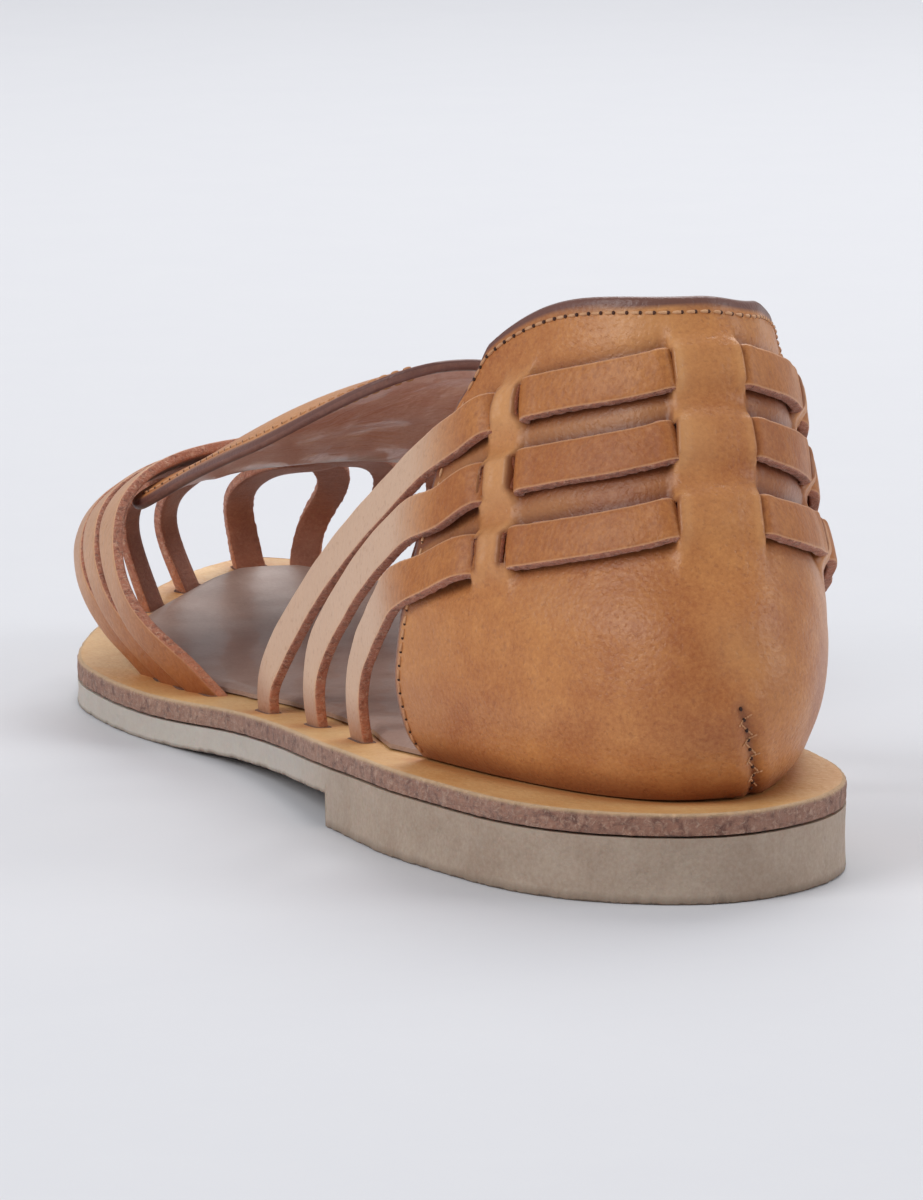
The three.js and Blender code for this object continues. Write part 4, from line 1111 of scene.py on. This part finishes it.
# Stitch rows by Geometry Nodes: one thread loop or one needle hole at each step of a path
def stitch_tree():
    tree = bpy.data.node_groups.new("stitch_row", "GeometryNodeTree")
    for key, kind in (("Path", "Geometry"), ("Pitch", "Float"), ("Stitch Length", "Float"),
                      ("Thread", "Float"), ("Seed", "Int"), ("Finish", "Material")):
        tree.interface.new_socket(key, in_out="INPUT", socket_type="NodeSocket" + kind)
    tree.interface.new_socket("Stitches", in_out="OUTPUT", socket_type="NodeSocketGeometry")
    add, given = Nodes(tree).add, tree.nodes.new("NodeGroupInput").outputs
    curve = add("GeometryNodeMeshToCurve", {"Mesh": given["Path"]})
    steps = add("GeometryNodeResampleCurve", {"Curve": curve, "Length": given["Pitch"]}, mode="LENGTH")
    bead = add("GeometryNodeMeshUVSphere", {"Segments": 8, "Rings": 6, "Radius": 1.0}, "Mesh")
    ahead = add("GeometryNodeInputTangent", {})
    turned = add("FunctionNodeAlignRotationToVector", {"Vector": ahead}, axis="Z")
    varied = add("FunctionNodeRandomValue", {2: 0.88, 3: 1.1, "Seed": given["Seed"]}, 1, data_type="FLOAT")
    long_half = add("ShaderNodeMath", {0: given["Stitch Length"], 1: varied}, operation="MULTIPLY")
    sizes = add("ShaderNodeCombineXYZ", {"X": given["Thread"], "Y": given["Thread"], "Z": long_half})
    beads = add("GeometryNodeInstanceOnPoints", {"Points": steps, "Instance": bead, "Rotation": turned,
                                                 "Scale": sizes})
    real = add("GeometryNodeRealizeInstances", {"Geometry": beads})
    sewn = add("GeometryNodeSetMaterial", {"Geometry": real, "Material": given["Finish"]})
    tree.links.new(sewn, tree.nodes.new("NodeGroupOutput").inputs["Stitches"])
    return tree


STITCHES = stitch_tree()
SOCKETS = {socket.name: socket.identifier for socket in STITCHES.interface.items_tree
           if socket.in_out == "INPUT"}


def stitch_row(name, path, pitch, half_length, thickness, finish, seed):
    holder = shown(name + "_path", plain_mesh(name, path, [(i, i + 1) for i in range(len(path) - 1)], []))
    modifier = holder.modifiers.new("stitches", "NODES")
    modifier.node_group = STITCHES
    for key, value in (("Pitch", pitch / 1000), ("Stitch Length", half_length / 1000),
                       ("Thread", thickness / 1000), ("Seed", seed), ("Finish", finish)):
        modifier[SOCKETS[key]] = value
    bpy.context.view_layer.update()
    result = bpy.data.meshes.new_from_object(holder.evaluated_get(bpy.context.evaluated_depsgraph_get()))
    bpy.data.objects.remove(holder)
    result.name = name
    result.shade_smooth()
    settle(shown(name, result))


def sewn_edge(name, ending, path, stitch, hole, seed):
    """A row of thread loops with a needle hole between each two; both sizes are half length and width."""
    stitch_row(f"{name}_stitches_{ending}", path, STITCH_PITCH, *stitch, THREAD, seed)
    between = along_curve(path, HOLE_STEP)[4:]
    stitch_row(f"{name}_needle_holes_{ending}", between, STITCH_PITCH, *hole, HOLE, seed + 1)


def counter_path(turn, height, side):
    lift = counter_lift(turn, height)
    return counter_point(turn, height, lift + side * (WALL / 2 + 0.05))


TOP_END = 0.965
top_turns = np.linspace(-TOP_END, TOP_END, 400)
for side, face_name in ((1, "outer"), (-1, "inner")):
    path = counter_path(top_turns, topline(top_turns) - STITCH_INSET, side)
    sewn_edge("topline", face_name, path, TOP_LOOP, TOP_HOLE, 3)
heights = mix(SEAT, float(topline(TOP_END)) - STITCH_INSET, np.linspace(0.03, 0.97, 240))
for hand, hand_name in ((-1, "lateral"), (1, "medial")):
    tenth = np.linalg.norm(counter_base(hand * 1.0, heights) - counter_base(hand * 0.9, heights), axis=-1)
    path = counter_path(hand * (1 - FRONT_STITCH_INSET / tenth * 0.1), heights, 1)
    sewn_edge("front_edge", hand_name, path, FRONT_LOOP, EDGE_HOLE, 5)


# Back dart: short cross stitches over dark needle holes
def dart_x(z):
    return np.interp(z, [DART_FOOT[1], DART_TIP[1]], [DART_FOOT[0], DART_TIP[0]])


def back_path(xs, zs):
    """Places on the back of the wall from their x and z."""
    turns = np.linspace(-0.3, 0.4, 400)
    turn = np.array([np.interp(x, counter_base(turns, z)[:, 0], turns) for x, z in zip(xs, zs)])
    return counter_path(turn, zs, 1)


hole_z = np.linspace(DART_FOOT[1] + 0.8, DART_TIP[1], 60)
stitch_row("dart_needle_holes", back_path(dart_x(hole_z), hole_z), 1.7, 0.38, 0.30, HOLE, 7)
for number in range(8):
    z = mix(DART_FOOT[1] + 1.5, DART_TIP[1] - 0.8, (number + 0.5) / 8)
    tilt = 0.7 if number % 2 else -0.7
    path = back_path(dart_x(z) + np.linspace(-0.8, 0.8, 9), z + np.linspace(-tilt, tilt, 9))
    stitch_row(f"dart_cross_stitch_{number + 1}", path, 0.45, 0.3, 0.16, THREAD, 20 + number)

# Throat edge of the apron
for lift, face_name in ((WALL + 0.05, "outer"), (-0.05, "inner")):
    for column, inward, count in (("lateral", 1, 200), ("medial", -1, 150)):
        along = np.linspace(*THROAT[column], count)
        edge = read(APRON, "along", column, along)
        tenth = np.linalg.norm(last_base(along, edge + 0.05) - last_base(along, edge - 0.05), axis=-1)
        around = edge + inward * STITCH_INSET / (tenth / 0.1)
        path = last_point(along, around, lift + apron_sag(last_base(along, around)))
        sewn_edge("throat", f"{column}_{face_name}", path, THROAT_LOOP, EDGE_HOLE, 8)

# Floor, light and camera
floor_mesh = bpy.data.meshes.new("studio_floor")
floor_mesh.from_pydata([(-6, -6, 0), (6, -6, 0), (6, 9, 0), (-6, 9, 0)], [], [(0, 1, 2, 3)])
floor_mesh.materials.append(finish("pale_floor", {"grain": 120.0}, (220, 221, 225),
                                   [((217, 218, 223), "grain Mottle", 0.5)], rough=0.7, specular=0.15))
floor = shown("studio_floor", floor_mesh)

world = bpy.data.worlds.new("studio")
bpy.context.scene.world = world
world.use_nodes = True
world.node_tree.nodes["Background"].inputs["Color"].default_value = colour(238, 239, 243)
world.node_tree.nodes["Background"].inputs["Strength"].default_value = 0.45


def aim(holder, place, target):
    holder.location = place
    holder.rotation_euler = (Vector(target) - holder.location).to_track_quat("-Z", "Y").to_euler()


for name, place, size, watts in (("key_softbox", (-1.5, -0.5, 1.2), 1.1, 16),
                                 ("top_softbox", (0.6, 1.0, 1.5), 1.2, 20),
                                 ("side_softbox", (1.5, -0.7, 0.8), 0.8, 7)):
    lamp = bpy.data.lights.new(name, "AREA")
    lamp.shape = "SQUARE"
    lamp.size = size
    lamp.energy = watts
    aim(shown(name, lamp), place, (0, 0, 0.03))

lens = bpy.data.cameras.new("photo_camera")
lens.lens = 257
lens.sensor_width = 36
lens.clip_end = 50
camera = shown("photo_camera", lens)
aim(camera, (-0.4264, -1.2943, 0.2464), (-0.0167, -0.0565, 0.0355))
bpy.context.scene.camera = camera
bpy.context.scene.view_settings.view_transform = "Standard"
